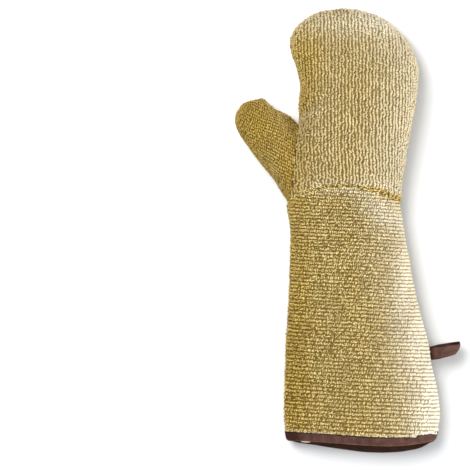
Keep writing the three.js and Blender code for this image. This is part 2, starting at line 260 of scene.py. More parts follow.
def body_row(y):
    """Left, right, top and under at a station, whose position in the table is read off
    straight lines between the known ones."""
    return np.moveaxis(through_rows(BODY_ROWS, np.interp(y, DENSE_Y, DENSE)), -1, 0)[1:]


print("body at 0:", [round(float(v), 1) for v in body_row(0.0)])

# %% Seams of the wrist and the thumb
WRIST_Y, WRIST_ARCH, WRIST_X, WRIST_HALF = 30.0, 16.0, -5.0, 63.5
LEVEL_WRIST = WRIST_Y + WRIST_ARCH * 0.6  # about the seam's mean station


def wrist_seam(x):
    """Station of the seam between hand and gauntlet: an arch of a parabola."""
    return WRIST_Y + WRIST_ARCH * (1 - ((x - WRIST_X) / WRIST_HALF) ** 2)


def thumb_seam(y):
    """Place across of the seam between hand and thumb, along straight lines."""
    return np.interp(y, THUMB_SEAM[:, 1], THUMB_SEAM[:, 0])


print("wrist seam in the middle:", wrist_seam(WRIST_X), "mm")

# %% [markdown]
# The body is a function of two numbers, the station along it and the angle round the
# section, and of how deep under the outside the wanted point lies. So the outside, the
# ground under the loops and the inside are the same function at three depths, and the wall
# can't cross itself.

# %% The body as a surface
GROOVE_DEPTH, GROOVE_WIDTH = 1.3, 4.5  # of the dent that the wrist seam pulls in
THIN = 0.2  # least half width and half height of a section, however deep the inset
RELIEF_FADE = 0.6  # sine of the angle from which on the dents have their full depth
TIP_RUN = 66.0  # length before the tip over which an inner surface draws back from it
FINE = 721  # angles over which a length round a section is summed


def body_at(y, angle, inset):
    """Point of the body at station y and angle round the section: the middle plus the half
    width and half height times the fuller cosine and sine, pushed in by grooves and dents,
    and never lower than the table plus the inset."""
    y, angle = np.broadcast_arrays(np.asarray(y, float), np.asarray(angle, float))
    left, right, top, under = body_row(y)
    across = np.maximum((right - left) / 2 - inset, THIN) * fuller(np.cos(angle))
    up = np.maximum((top - under) / 2 - inset, THIN) * fuller(np.sin(angle))
    x = (left + right) / 2 + across
    z = (top + under) / 2 + up
    reach = np.hypot(across, up)
    groove = GROOVE_DEPTH * np.exp(-(((y - wrist_seam(x)) / GROOVE_WIDTH) ** 2))
    push = groove + bells(RELIEF, x, y) * smooth(np.sin(angle), 0, RELIEF_FADE)
    z = np.maximum(z - push * up / reach, inset)
    back = inset * smooth(y, TIP_Y - TIP_RUN, TIP_Y)
    return np.stack([x - push * across / reach, y - back, z], -1)


def body_follow(station, angle, inset):
    """Points of the body whose station is a function of the place across. Four rounds of
    putting the found place back in settle it."""
    point = body_at(station(np.zeros_like(angle)), angle, inset)
    for _ in range(4):
        point = body_at(station(point[..., 0]), angle, inset)
    return point


def girth(y):
    """Length round the outside at a station, as the sum of many short steps."""
    around = body_at(y, np.linspace(-np.pi, np.pi, FINE), 0)
    return float(np.linalg.norm(np.diff(around, axis=0), axis=-1).sum())


print("girth of hand, wrist and gauntlet:", [round(girth(y)) for y in (160, 0, -200)], "mm")

# %% The thumb as a surface
SEAM_Y = np.linspace(24, 124, 60)  # stations along the seam between thumb and hand
SEAM_ANGLES = np.linspace(0.5, 1, 400) * np.pi  # the body's quarter on the thumb's side
SEAM_SIDE = body_at(SEAM_Y[:, None], SEAM_ANGLES[None], 0)
SEAM_NEAR = np.argmin(np.abs(SEAM_SIDE[..., 0] - thumb_seam(SEAM_Y)[:, None]), axis=1)
SEAM_TOP = SEAM_SIDE[np.arange(len(SEAM_Y)), SEAM_NEAR, 2]
SEAM_REACH = 15.0  # how far from the seam the thumb comes down to the hand
THUMB_TIP_RUN = (7, 11)  # positions over which an inner surface draws back from the tip


def thumb_at(position, angle, inset):
    """Point of the thumb: an upright slice between its outer and inner edge, its half
    width and half height times the fuller cosine and sine. Beside the seam its top comes
    down to the hand's, and near the tip an inner surface is drawn back along the thumb."""
    position, angle = np.broadcast_arrays(np.asarray(position, float), np.asarray(angle, float))
    row = through_rows(THUMB_ROWS, position)
    outer, inner = row[..., 0:2], row[..., 2:4]
    top, under = row[..., 4], row[..., 5]
    half = (inner - outer) / 2
    length = np.maximum(np.linalg.norm(half, axis=-1), 1e-6)
    side = half / length[..., None]
    ahead = np.stack([-side[..., 1], side[..., 0]], -1)
    span = np.maximum(length - inset, THIN) * fuller(np.cos(angle))
    back = inset * smooth(position, *THUMB_TIP_RUN)
    plan = (outer + inner) / 2 + side * span[..., None] - ahead * back[..., None]
    up = np.maximum((top - under) / 2 - inset, THIN) * fuller(np.sin(angle))
    z = (top + under) / 2 + up
    seam_height = np.interp(plan[..., 1], SEAM_Y, SEAM_TOP) - inset
    from_seam = np.minimum(plan[..., 0] - thumb_seam(plan[..., 1]), 0)
    beside = np.exp(-((from_seam / SEAM_REACH) ** 2))
    z = np.maximum(z + beside * (np.minimum(z, seam_height) - z), inset)
    return np.concatenate([plan, z[..., None]], -1)


print("thumb's tip:", thumb_at(len(THUMB_ROWS) - 1, 0, 0).round(1))

# %% The two lips of the mouth
MOUTH_CORNER, MOUTH_LEFT, MOUTH_RIGHT = -232.4, -67.5, 98.0
MOUTH_SAGS = np.array([
    # how far the upper and the under lip sag, at even steps from the left corner to the right
    (0, 0),
    (0.3, 3.9),
    (1.0, 6.3),
    (2.0, 9.0),
    (3.2, 11.3),
    (4.4, 13.5),
    (5.3, 14.5),
    (5.6, 14.4),
    (4.8, 12.9),
    (2.9, 9.0),
    (0, 0),
], dtype=float)
LIP_PARTING = 15.0  # points higher than this belong to the upper lip


def mouth_edge(x, upper):
    """Station at which the tape folds over the mouth: the corners' less a sag, which is
    deeper on the under lip."""
    share = np.clip((x - MOUTH_LEFT) / (MOUTH_RIGHT - MOUTH_LEFT), 0, 1)
    sags = through_rows(MOUTH_SAGS, share * (len(MOUTH_SAGS) - 1))
    return MOUTH_CORNER - np.where(upper, sags[..., 0], sags[..., 1])


print("mouth's under lip hangs", MOUTH_SAGS[:, 1].max() - MOUTH_SAGS[:, 0].max(), "mm lower")

# %% [markdown]
# The yarn isn't drawn in one even colour. Along the thumb side it is more ochre, partly its own
# tone and partly painted shade on that flank, and to the right it is paler, which is painted light.
# Both are soft patches over the whole glove, so they are told in the same way as the dents, and
# every point of yarn and ground carries them as numbers that the materials read. Painting a picture
# for it would say the same with far more data.

# %% Patches of colour
OCHRE_AND_SHADE = np.array([
    # x, y, half length, half width, turn, strength: patches where the yarn is more ochre, partly
    # its own tone and partly painted shade on the left flank
    (-51, 192, 44, 22, 82, 1.0),
    (-48, 146, 30, 12, 80, 0.9),
    (-60, -70, 110, 20, 90, 1.0),
    (-66, -190, 60, 20, 90, 0.8),
    (-52, 70, 60, 12, 86, 0.35),
    (41, 40, 18, 7, -27, 0.9),
    (-52, 40, 16, 8, 20, 0.4),
    (-62, 90, 60, 10, 90, 0.3),
])
PAINTED_LIGHT_PATCHES = np.array([
    # the same for patches of painted light, where the yarn is drawn paler
    (-42, 124, 20, 6, 38, 0.12),
    (0, 226, 60, 16, 0, 0.35),
    (40, 16, 30, 12, -30, 0.35),
    (0, 46, 44, 7, 0, 0.4),
    (60, -60, 50, 12, 85, 0.4),
    (76, -120, 50, 17, 80, 0.5),
    (92, -190, 60, 18, 82, 0.85),
])
PAINTED_LIGHT_RIGHT = 0.32  # how much painted light pales the right edge everywhere
PAINTED_LIGHT_FROM, PAINTED_LIGHT_TO = 0.45, 0.98  # shares of the way across between which this comes up


def patches(table, points):
    """How strongly the patches of a table mark each point, from 0 to 1."""
    return np.clip(bells(table, points[..., 0], points[..., 1]), 0, 1)


def painted_light(points):
    """How much painted light pales the yarn: PAINTED_LIGHT_RIGHT times a smooth step over the right
    part of each section, plus the patches."""
    left, right = body_row(points[..., 1])[:2]
    share = (points[..., 0] - left) / (right - left)
    return np.clip(smooth(share, PAINTED_LIGHT_FROM, PAINTED_LIGHT_TO) * PAINTED_LIGHT_RIGHT + patches(PAINTED_LIGHT_PATCHES, points), 0, 1)


print("patches:", len(OCHRE_AND_SHADE), "ochre and", len(PAINTED_LIGHT_PATCHES), "pale")

# %% [markdown]
# Meshes are built from whole grids of numbers at once. A grid of points gives its faces by index
# arithmetic, which keeps hundreds of thousands of faces quick. Each piece also gets a UV map of its
# own, and is told which part of the glove it stands for.

# %% Mesh helpers
UV_MARGIN = 0.01


def grid_faces(rows, columns, wrap_rows=False, wrap_columns=False):
    """Quads of a grid of rows times columns points, and each corner's row and column. A
    point's index is its row times the number of columns, plus its column."""
    last_row, last_column = rows - (not wrap_rows), columns - (not wrap_columns)
    r, c = np.meshgrid(np.arange(last_row), np.arange(last_column), indexing="ij")
    corner_r = np.stack([r, r, r + 1, r + 1], -1).reshape(-1, 4)
    corner_c = np.stack([c, c + 1, c + 1, c], -1).reshape(-1, 4)
    index = (corner_r % rows) * columns + corner_c % columns
    return index, corner_r, corner_c


def inside_square(u, v):
    """UV of each corner, shrunk so that it stays a margin off the map's edges."""
    return np.stack([u, v], -1) * (1 - 2 * UV_MARGIN) + UV_MARGIN


def new_piece(name, points_mm, faces, uv, node, values=None):
    """A smooth mesh object from arrays: points in millimetres, quads by index, a UV for each
    corner and named numbers for each point."""
    mesh = bpy.data.meshes.new(name)
    points = (np.asarray(points_mm, np.float32) * MM).reshape(-1, 3)
    faces = np.asarray(faces, np.int32)
    mesh.vertices.add(len(points))
    mesh.vertices.foreach_set("co", points.ravel())
    mesh.loops.add(faces.size)
    mesh.loops.foreach_set("vertex_index", faces.ravel())
    mesh.polygons.add(len(faces))
    starts = np.arange(0, faces.size, faces.shape[1], dtype=np.int32)
    mesh.polygons.foreach_set("loop_start", starts)
    mesh.polygons.foreach_set("use_smooth", np.ones(len(faces), bool))
    layer = mesh.uv_layers.new(name="OFBake")
    layer.data.foreach_set("uv", np.asarray(uv, np.float32).ravel())
    for key, data in (values or {}).items():
        attribute = mesh.attributes.new(key, "FLOAT", "POINT")
        attribute.data.foreach_set("value", np.asarray(data, np.float32).ravel())
    mesh.validate()
    mesh.update()
    piece = bpy.data.objects.new(name, mesh)
    bpy.context.scene.collection.objects.link(piece)
    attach(piece, "root")
    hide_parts(node)
    return piece


def unit(vectors):
    """Vectors over their own length, which makes it one."""
    return vectors / np.maximum(np.linalg.norm(vectors, axis=-1, keepdims=True), 1e-9)


def triangles(*pieces):
    """A face of n corners makes n - 2 triangles."""
    return [len(piece.data.loops) - 2 * len(piece.data.polygons) for piece in pieces]


print("a grid of 3 x 4 points has", len(grid_faces(3, 4)[0]), "faces")

# %% [markdown]
# The ground is the knitted fabric that the loops stand in: a closed wall with an outside, an
# inside and the edges between them, open at the mouth, so that one can look into the glove.
# A Solidify modifier could give a sheet its thickness, but here the inside is worked out as
# its own surface and stays flat on the table where the outside does.

# %% A wall from two grids
OPENING_ANGLES = 600  # angles that are tried to find where a section stops


def shell_piece(name, outer, inner, node):
    """A closed wall from two grids with the same numbers of rows and columns: the outer one,
    the inner one run backwards, and a strip that joins them along every edge."""
    rows, columns = outer.shape[:2]
    ring = np.concatenate([outer, inner[:, ::-1]], 1)
    halfway = (outer + inner) / 2
    edges = np.concatenate([halfway, halfway[:, ::-1]], 1)
    ring = np.concatenate([edges[:1], ring, edges[-1:]], 0)
    faces, r, c = grid_faces(rows + 2, 2 * columns, wrap_columns=True)
    uv = inside_square(c / (2 * columns), r / (rows + 1))
    values = {"patch": patches(OCHRE_AND_SHADE, ring), "pale": painted_light(ring)}
    return new_piece(name, ring, faces, uv, node, values)


def opening_angle(surface, keep, side):
    """Angle up to which a section is kept, from angle 0 round its top (side 1) or underside
    (side -1): the first of many angles whose point isn't kept any more, or half a turn."""
    angles = np.linspace(0, np.pi, OPENING_ANGLES)
    lost = ~keep(surface(side * angles))
    lost[:, -1] = True
    return angles[np.argmax(lost, axis=1)]


def crowding(run, first, last, count, power):
    """Distances from a tip that crowd towards it: run times a share to a power, while the
    share goes evenly from first to last."""
    return run * np.linspace(first, last, count) ** power


print("wall:", TERRY - PILE, "mm of ground under", PILE, "mm of loops")

# %% Ground of the hand
HAND_ROWS, HAND_COLUMNS = 70, 120
HAND_FADE = 90.0  # how far up the hand its rows still follow the wrist seam's arch
OFF_SEAM = 0.2  # how far the grounds of hand and gauntlet stay off their seam
HAND_EVEN = (OFF_SEAM, 180)  # distances from that seam between which the rows are even
HAND_TIP = dict(run=25.4, first=0.97, last=0.001, count=26, power=2)
SLIT = 0.05  # how far the grounds of hand and thumb stay off theirs


def hand_station(distance):
    """The hand's stations: they follow the wrist seam's arch and level out past it."""
    fade = 1 - smooth(np.abs(distance), 0, HAND_FADE)
    return lambda x: distance + LEVEL_WRIST + fade * (wrist_seam(x) - LEVEL_WRIST)


def hand_ground():
    """Even rows up the hand, then rows that crowd with the square of a share towards the
    tip. Beside the thumb each section stops at the seam, so the hand is open there."""
    tip = TIP_Y - LEVEL_WRIST - crowding(**HAND_TIP)
    distance = np.concatenate([np.linspace(*HAND_EVEN, HAND_ROWS), tip])
    station = hand_station(distance[:, None])
    keep = lambda p: p[..., 0] > thumb_seam(p[..., 1]) + SLIT
    surface = lambda a: body_follow(station, np.broadcast_to(a, (len(distance), a.size)), PILE)
    high = opening_angle(surface, keep, 1)
    low = opening_angle(surface, keep, -1)
    share = np.linspace(0, 1, HAND_COLUMNS)
    angle = -low[:, None] + share * (high + low)[:, None]
    outer = body_follow(station, angle, PILE)
    inner = body_follow(station, angle, TERRY)
    return shell_piece("hand_ground", outer, inner, "hand")


hand = hand_ground()
print("hand ground:", triangles(hand), "triangles")

# %% Ground of the gauntlet
GAUNTLET_ROWS, GAUNTLET_COLUMNS = 110, 144
BOUND_WALL, TAPE, GAP, TAPE_WIDTH = 3.0, 0.9, 0.3, 10.2
FOLD = BOUND_WALL / 2 + GAP + TAPE  # outer radius of the tape's fold over the mouth
SQUEEZE = 0.7  # how much nearer to the outside the ground lies under the tape
FREE_FROM, FREE_TO = TAPE_WIDTH - FOLD - 2, TAPE_WIDTH + 3  # where the squeeze ends


def gauntlet_ground():
    """Rows run at even shares of the way from the tape's fold to the wrist seam. Under the
    tape there are no loops, so both faces of the wall lie nearer to the outside there, and
    go back to their own depths just past it."""
    share = np.linspace(0, 1, GAUNTLET_ROWS)[:, None]
    around = np.linspace(-np.pi, np.pi, GAUNTLET_COLUMNS)
    angle = np.broadcast_to(around, (GAUNTLET_ROWS, GAUNTLET_COLUMNS))
    upper = angle > 0

    def station(x):
        """The row's share of the way from the fold to the seam, at a place across."""
        low = mouth_edge(x, upper) + FOLD
        return low + (wrist_seam(x) - OFF_SEAM - low) * share

    free = smooth(share * (WRIST_Y - MOUTH_CORNER), FREE_FROM, FREE_TO)
    outer_inset = PILE - SQUEEZE * (1 - free)
    inner_inset = TERRY - (TERRY - TAPE - GAP - BOUND_WALL) * (1 - free)
    outer = body_follow(station, angle, outer_inset)
    inner = body_follow(station, angle, inner_inset)
    return shell_piece("gauntlet_ground", outer, inner, "gauntlet")


gauntlet = gauntlet_ground()
print("gauntlet ground:", triangles(gauntlet), "triangles")

# %% Ground of the thumb
THUMB_GROUND_ROWS, THUMB_COLUMNS = 50, 88
THUMB_EVEN = (0.45, 8.5)  # positions between which its slices are even
THUMB_TIP = dict(run=2.45, first=0.98, last=0.02, count=22, power=1.6)


def thumb_ground():
    """Slices of the thumb, crowding towards the tip, each kept on its own side of the
    seam."""
    tip = len(THUMB_ROWS) - 1 - crowding(**THUMB_TIP)
    position = np.concatenate([np.linspace(*THUMB_EVEN, THUMB_GROUND_ROWS), tip])[:, None]
    hand_side = lambda p: p[..., 0] > thumb_seam(p[..., 1]) - SLIT
    surface = lambda a: thumb_at(position, a, PILE)
    high = opening_angle(surface, hand_side, 1)
    low = opening_angle(surface, hand_side, -1)
    share = np.linspace(0, 1, THUMB_COLUMNS)
    angle = high[:, None] + share * (2 * np.pi - high - low)[:, None]
    outer = thumb_at(position, angle, PILE)
    inner = thumb_at(position, angle, TERRY)
    return shell_piece("thumb_ground", outer, inner, "thumb")


thumb = thumb_ground()
print("thumb ground:", triangles(thumb), "triangles")

# %% [markdown]
# Now the yarn. Each loop is a short tube that comes up out of the ground, bends over and goes
# back in. All loops of a piece are made at once: an array of foot points with the local
# directions along and across the rib, and the same small arch carried to each of them. Hair
# curves could do it too, but a mesh exports as it is and costs only a few dozen triangles a
# loop.

# %% Feet of the loops


class Feet:
    """Feet of loops on a surface: point, outward normal, direction along the rib and
    direction across it, each an array with one row for each loop. The normal is the cross
    product of the surface's two slopes. The rib runs with the surface's first number, or
    against its second one where it goes round the arm."""

    def __init__(self, surface, u, v, outward=1, round_arm=False):
        step = 1e-3
        self.point = surface(u, v)
        du = surface(u + step, v) - surface(u - step, v)
        dv = surface(u, v + step) - surface(u, v - step)
        self.normal = unit(np.cross(du, dv)) * outward
        self.along = -unit(dv) if round_arm else unit(du)
        self.across = np.cross(self.normal, self.along)

    def chosen(self, mask):
        """The same feet without those that the mask leaves out."""
        part = object.__new__(Feet)
        part.point, part.normal = self.point[mask], self.normal[mask]
        part.along, part.across = self.along[mask], self.across[mask]
        return part

    def shift(self, along, across):
        """Moves each foot along its rib and across it."""
        self.point = self.point + self.along * along[:, None] + self.across * across[:, None]


def lengths(points):
    """Length run so far at each point of each row of points: the sum of the steps to it."""
    steps = np.linalg.norm(np.diff(points, axis=1), axis=-1)
    return np.concatenate([np.zeros((len(points), 1)), np.cumsum(steps, 1)], 1)


def evenly(points, spacing, start):
    """Fractional places along each row of points where its length is start plus a whole
    number of spacings."""
    row, place = [], []
    for k, run in enumerate(lengths(points)):
        at = np.arange(start[k], run[-1], spacing)
        row.append(np.full(len(at), k))
        place.append(np.interp(at, run, np.arange(len(run))))
    return np.concatenate(row), np.concatenate(place)


def between(values, row, place):
    """Values of a table at fractional places along its rows: a straight mix of the two
    neighbours."""
    values = np.asarray(values, float)
    low = np.minimum(np.floor(place).astype(int), values.shape[1] - 2)
    share = (place - low).reshape(-1, *[1] * (values.ndim - 2))
    return values[row, low] * (1 - share) + values[row, low + 1] * share


def jitter(n, spread):
    """Normal random numbers round 0, cut off at two and a half spreads."""
    return np.clip(rng.normal(0, spread, n), -2.5 * spread, 2.5 * spread)


def pile_at(y, angle):
    """Point of the ground that the body's loops stand on."""
    return body_at(y, angle, PILE)


def terry_marks(feet, patch=None, pale=None):
    """The numbers that each loop's yarn carries: a random tone, how ochre the glove is where the
    loop stands, which is partly painted shade, and how much painted light pales it there, unless
    other numbers are given."""
    patch = patches(OCHRE_AND_SHADE, feet.point) if patch is None else patch
    pale = painted_light(feet.point) if pale is None else pale
    return {"tone": rng.random(len(feet.point)), "patch": patch, "pale": pale}


print("halfway between 2 and 4:", between([[2, 4]], np.array([0]), np.array([0.5])))

# %% One loop of yarn, made thousands of times
SIDES = 4  # of each tube; smooth shading makes it look round
TOP_STEPS, UNDER_STEPS = 6, 4  # along each loop; fewer where the glove lies on the table
LONG_STEPS = 10  # along the few long ones
ARCH_POWER = 0.6  # below 1 an arch is steep at its feet and level on top
FOOT_SHARE, END_SHARE = 0.62, 0.35  # radius near the feet and at the ends, of the crown's
SUNK = 0.5  # how far the ends lie under the ground's face
TABLE_CLEAR = 0.02  # least height above the table
TUBE_FROM, TUBE_SPAN = 0.1, 0.8  # where a tube starts in its cell of the UV map, and its size
CAP_FROM, CAP_SPAN, CAPS_APART = 0.02, 0.06, 0.9  # the same for its end caps


def loop_uv(n, steps, r, c):
    """Each loop gets a cell of its own in a square of cells: the tube in its middle and the
    two end caps in its corners."""
    cells = math.ceil(math.sqrt(n))
    cell = np.stack([np.arange(n) % cells, np.arange(n) // cells], -1)[:, None, None]
    tube = np.stack([c / SIDES, r / steps], -1) * TUBE_SPAN + TUBE_FROM
    cap = np.array([(0, 0), (1, 0), (1, 1), (0, 1)]) * CAP_SPAN + CAP_FROM
    return (cell + np.concatenate([tube, cap[None], cap[None] + CAPS_APART])[None]) / cells


def yarn_loops(name, feet, look, marks, slot, node, steps=TOP_STEPS):
    """Tubes along arches. At a share a of its way a loop's middle line lies (a − 1/2) ·
    length along its own direction and sway · sin(2πa) aside, at a height that goes by
    sin(πa)^ARCH_POWER from SUNK below the ground to the loop's own height. The radius swells
    with sin(πa), and lift is a point's height as a share of the crown's."""
    n = len(feet.point)
    a = np.linspace(0, 1, steps + 1)
    turn = look["slant"][:, None]
    ahead = feet.along * np.cos(turn) + feet.across * np.sin(turn)
    aside = np.cross(feet.normal, ahead)
    arch = np.sin(np.pi * a) ** ARCH_POWER
    swell = FOOT_SHARE + (1 - FOOT_SHARE) * np.sin(np.pi * a)
    swell = swell * np.where((a == 0) | (a == 1), END_SHARE, 1)
    radius = look["radius"][:, None] * swell
    height = look["height"][:, None] * arch - SUNK * (1 - arch)
    sway = look["sway"][:, None] * np.sin(2 * np.pi * a)
    reach = look["length"][:, None] * (a - 0.5)
    middle = feet.point[:, None] + ahead[:, None] * reach[..., None]
    middle = middle + aside[:, None] * sway[..., None] + feet.normal[:, None] * height[..., None]
    run = unit(np.gradient(middle, axis=1))
    up = feet.normal[:, None]
    out = unit(up - run * np.sum(run * up, -1, keepdims=True))
    side = np.cross(run, out)
    theta = (np.arange(SIDES) + 0.5) * 2 * np.pi / SIDES
    ring = out[:, :, None] * np.cos(theta)[:, None] + side[:, :, None] * np.sin(theta)[:, None]
    points = middle[:, :, None] + ring * radius[:, :, None, None]
    points[..., 2] = np.maximum(points[..., 2], TABLE_CLEAR)
    crown = (look["height"] + look["radius"])[:, None, None]
    lift = (height[:, :, None] + radius[:, :, None] * np.cos(theta)) / crown
    index, r, c = grid_faces(steps + 1, SIDES, wrap_columns=True)
    per_loop = (steps + 1) * SIDES
    caps = np.array([np.arange(SIDES), per_loop - 1 - np.arange(SIDES)])
    index = np.concatenate([index[:, ::-1], caps])
    faces = (np.arange(n)[:, None, None] * per_loop + index).reshape(-1, 4)
    uv = loop_uv(n, steps, r[:, ::-1], c[:, ::-1])
    # lift drives painted shade low in each loop and a painted highlight on its crown
    values = {"lift": np.clip(lift, 0, 1)}
    for key, data in marks.items():
        values[key] = np.broadcast_to(data[:, None, None], lift.shape)
    return new_piece(name, points, faces, uv, node, values)


def top_or_under(upper):
    """How the name of a piece ends, and the number of steps along its loops."""
    return ("top", TOP_STEPS) if upper else ("under", UNDER_STEPS)


loop_triangles = [steps * SIDES * 2 + 4 for steps in (TOP_STEPS, UNDER_STEPS)]
print("a loop has", loop_triangles[0], "triangles on top and", loop_triangles[1], "below")

# %% [markdown]
# Real ribs are not ruled with a ruler. They lean and waver together with their neighbours,
# because the cloth stretches, and each one also has small bends of its own. Sums of a few
# sine waves of random length and direction give both, and never repeat within the glove.

# %% Wavering of the ribs
WAVES = 14
SKEW = 0.45  # a wave's rate across the ribs is at most this share of that along them


def ripples(short, long):
    """A function that wanders smoothly over the cloth: a sum of sine waves of random
    direction, whose lengths along the ribs lie between short and long. It is divided by the
    root of half their number, which gives it a spread of one."""
    a_rate = 2 * np.pi / rng.uniform(short, long, WAVES)
    b_rate = a_rate * rng.uniform(-SKEW, SKEW, WAVES)
    phase = rng.uniform(0, 2 * np.pi, WAVES)
    size = math.sqrt(WAVES / 2)
    return lambda a, b: np.sum(np.sin(a[:, None] * a_rate + b[:, None] * b_rate + phase), -1) / size


long_ripple, short_ripple = ripples(short=60, long=160), ripples(short=7.5, long=15)
LONG_ASIDE, SHORT_ASIDE, OWN_ASIDE = 0.45, 0.26, 0.15  # millimetres that each one moves a rib
OWN_LENGTH, OWN_TURN = 2.6, 2.4  # a rib's own wave: length over 2π, and turn to its neighbour's


def drift(a, b, rib):
    """How far the cloth's ribs wander aside: long and short ripples that neighbours share,
    plus a small sine wave of each rib's own, out of step with its neighbours'."""
    own = np.sin(a / OWN_LENGTH + rib * OWN_TURN)
    return LONG_ASIDE * long_ripple(a, b) + SHORT_ASIDE * short_ripple(a, b) + OWN_ASIDE * own


def wandering(n, spread):
    """Random numbers that change little from one to the next: white noise averaged over
    five neighbours, then brought to the spread."""
    noise = np.convolve(rng.normal(0, 1, n + 4), [0.2, 0.7, 1, 0.7, 0.2], "valid")
    return noise / noise.std() * spread


print("ripples of", WAVES, "waves each")

# %% [markdown]
# On the hand the ribs run from the wrist to the fingertips, side by side, a little under
# four millimetres apart. In places near the thumb the cloth is rubbed and its ribs fall
# apart, so the loops there lie more at random.

# %% Feet of the hand's loops
RIB = 3.72  # from one rib of the hand to the next
RIBS_ACROSS = np.arange(-34, 35)
STITCH = 2.9  # from one loop to the next along a rib
HAND_CENTRE = 5.0
RIB_EVEN = np.linspace(24, 222, 200)  # stations at which the ribs are traced
RIB_TIP = dict(run=22.5, first=1, last=0.03, count=60, power=1.7)
SEAM_BAND = 4.2  # how far the jumbled loops of the wrist seam reach up the hand
OFF_THUMB = 0.1  # how far the feet stay off the thumb's seam
NEARLY_ONE = 0.9999  # a mix of two shares that are both 1 comes out above this


def arc_table(surface, u, reference):
    """Angles of half a turn, and for each station u the length round the section up to each
    of them, measured from where the section passes a reference place across."""
    angle = np.linspace(0, np.pi, FINE)
    points = surface(u[:, None], angle[None])
    length = lengths(points)
    nearest = np.argmin(np.abs(points[..., 0] - reference), axis=1)
    zero = length[np.arange(len(u)), nearest]
    return angle, length - zero[:, None]


def hand_feet(upper):
    """Ribs at whole numbers of RIB round the section from the hand's middle, so they run
    parallel up the hand and over the fingertips. Gives the feet and the rib of each."""
    side = 1 if upper else -1
    surface = lambda y, angle: body_at(y, side * angle, PILE)
    y = np.concatenate([RIB_EVEN, TIP_Y - crowding(**RIB_TIP)])
    angle, length = arc_table(surface, y, HAND_CENTRE)
    ribs = RIBS_ACROSS * RIB
    chosen = np.array([np.interp(ribs, row, angle) for row in length]).T
    inside = np.array([(ribs > row[0]) & (ribs < row[-1]) for row in length]).T
    rib, place = evenly(surface(y[None], chosen), STITCH, rng.uniform(0, STITCH, len(ribs)))
    u = between(np.broadcast_to(y, chosen.shape), rib, place)
    v = between(chosen, rib, place)
    x, y_foot, _ = surface(u, v).T
    keep = between(inside, rib, place) > NEARLY_ONE
    keep &= (y_foot > wrist_seam(x) + SEAM_BAND) & (x > thumb_seam(y_foot) + OFF_THUMB)
    return Feet(surface, u[keep], v[keep], side), rib[keep]


print("hand:", len(RIBS_ACROSS), "ribs at most, every", RIB, "mm")

# %% Loops of the hand
LOOSE = np.array([
    # x, y, half length, half width, turn, strength: where the ribs fall apart
    (-44, 112, 26, 16, 60, 0.9),
    (-46, 70, 34, 16, 85, 0.9),
    (-10, 52, 60, 7, 0, 0.6),
    (14, 236, 60, 10, 0, 0.4),
])
STEEPEST = 0.5  # slope up to which a loop turns with its rib


def make_hand_loops(upper):
    """Neighbouring loops of a rib lie a little to either side, and each is turned the way
    that the rib goes there, which makes the rib a wavy rope."""
    feet, rib = hand_feet(upper)
    n = len(rib)
    aside = wandering(n, 0.28) + drift(feet.point[:, 1], feet.point[:, 0], rib)
    slope = np.clip(np.gradient(aside) / STITCH, -STEEPEST, STEEPEST)
    loose = patches(LOOSE, feet.point)
    aside += jitter(n, 0.6) * loose
    feet.shift(jitter(n, 0.4), aside)
    look = {
        "slant": np.arctan(slope) + np.radians(jitter(n, 14) * (1 + 0.8 * loose)),
        "length": 4.2 + jitter(n, 0.6) - 0.3 * loose,
        "height": 0.85 + jitter(n, 0.3),
        "radius": 1.36 + jitter(n, 0.16) - 0.1 * loose,
        "sway": jitter(n, 0.25),
    }
    ending, steps = top_or_under(upper)
    marks = terry_marks(feet)
    return yarn_loops("hand_loops_" + ending, feet, look, marks, "terry_hand", "hand", steps)


hand_loops = [make_hand_loops(True), make_hand_loops(False)]
print("hand loops:", triangles(*hand_loops), "triangles")

# %% [markdown]
# On the gauntlet the ribs run round the arm, and their loops lie across them like the
# strokes of a pen. They are split into three meshes only to keep each of them light.

# %% Rows of feet that run round the arm
ROUND = np.linspace(-np.pi, np.pi, 900)  # angles at which such a row is traced


def feet_round(station, count, stitch, starts, wanted=None):
    """Feet a stitch apart along rows right round the body, and the row of each. The rows'
    stations are a function of the place across. Feet whose point isn't wanted are left
    out."""
    field = np.broadcast_to(ROUND, (count, len(ROUND)))
    path = body_follow(station, field, PILE)
    row, place = evenly(path, stitch, starts)
    v, point = between(field, row, place), between(path, row, place)
    keep = wanted(point) if wanted else np.full(len(v), True)
    return Feet(pile_at, point[keep, 1], v[keep], round_arm=True), row[keep]


print("rows round the arm are traced at", len(ROUND), "angles")

# %% Loops of the gauntlet
GAUNTLET_TILT = math.tan(math.radians(-3.0))
GAUNTLET_STITCH = 2.2
ROW_START = -227.0  # station of the first row
ROW_STEP, ROW_CLOSER = 4.35, 0.0052  # the rows get closer towards the wrist
ROWS_ROUND = 74
OFF_TAPE = 0.9  # how far the first feet stand in under the tape
OFF_WRIST = 0.6  # how far the last feet stay off the wrist seam
PUFF_RUN = 4.0  # how far from the tape the loops are puffed up
SPLIT_Z, SPLIT_Y = 12, -110  # height and station where the meshes part


def above_tape(point):
    """How far a point lies up the glove from the fold of the mouth's tape."""
    return point[:, 1] - mouth_edge(point[:, 0], point[:, 2] > LIP_PARTING)


def gauntlet_feet():
    """Rows a rib apart from the tape to the wrist seam. Each runs right round the arm, a
    little aslant. Gives the feet and the row of each."""
    rows = np.arange(ROWS_ROUND)
    first = ROW_START + rows * ROW_STEP - rows ** 2 * ROW_CLOSER
    starts = rng.uniform(0, GAUNTLET_STITCH, ROWS_ROUND)

    def station(x):
        """The row's own station plus the tilt times the place across."""
        return first[:, None] + GAUNTLET_TILT * x

    def wanted(point):
        """Past the tape's edge, and short of the wrist seam."""
        below_seam = point[:, 1] < wrist_seam(point[:, 0]) - OFF_WRIST
        return (above_tape(point) > TAPE_WIDTH - OFF_TAPE) & below_seam

    return feet_round(station, ROWS_ROUND, GAUNTLET_STITCH, starts, wanted)


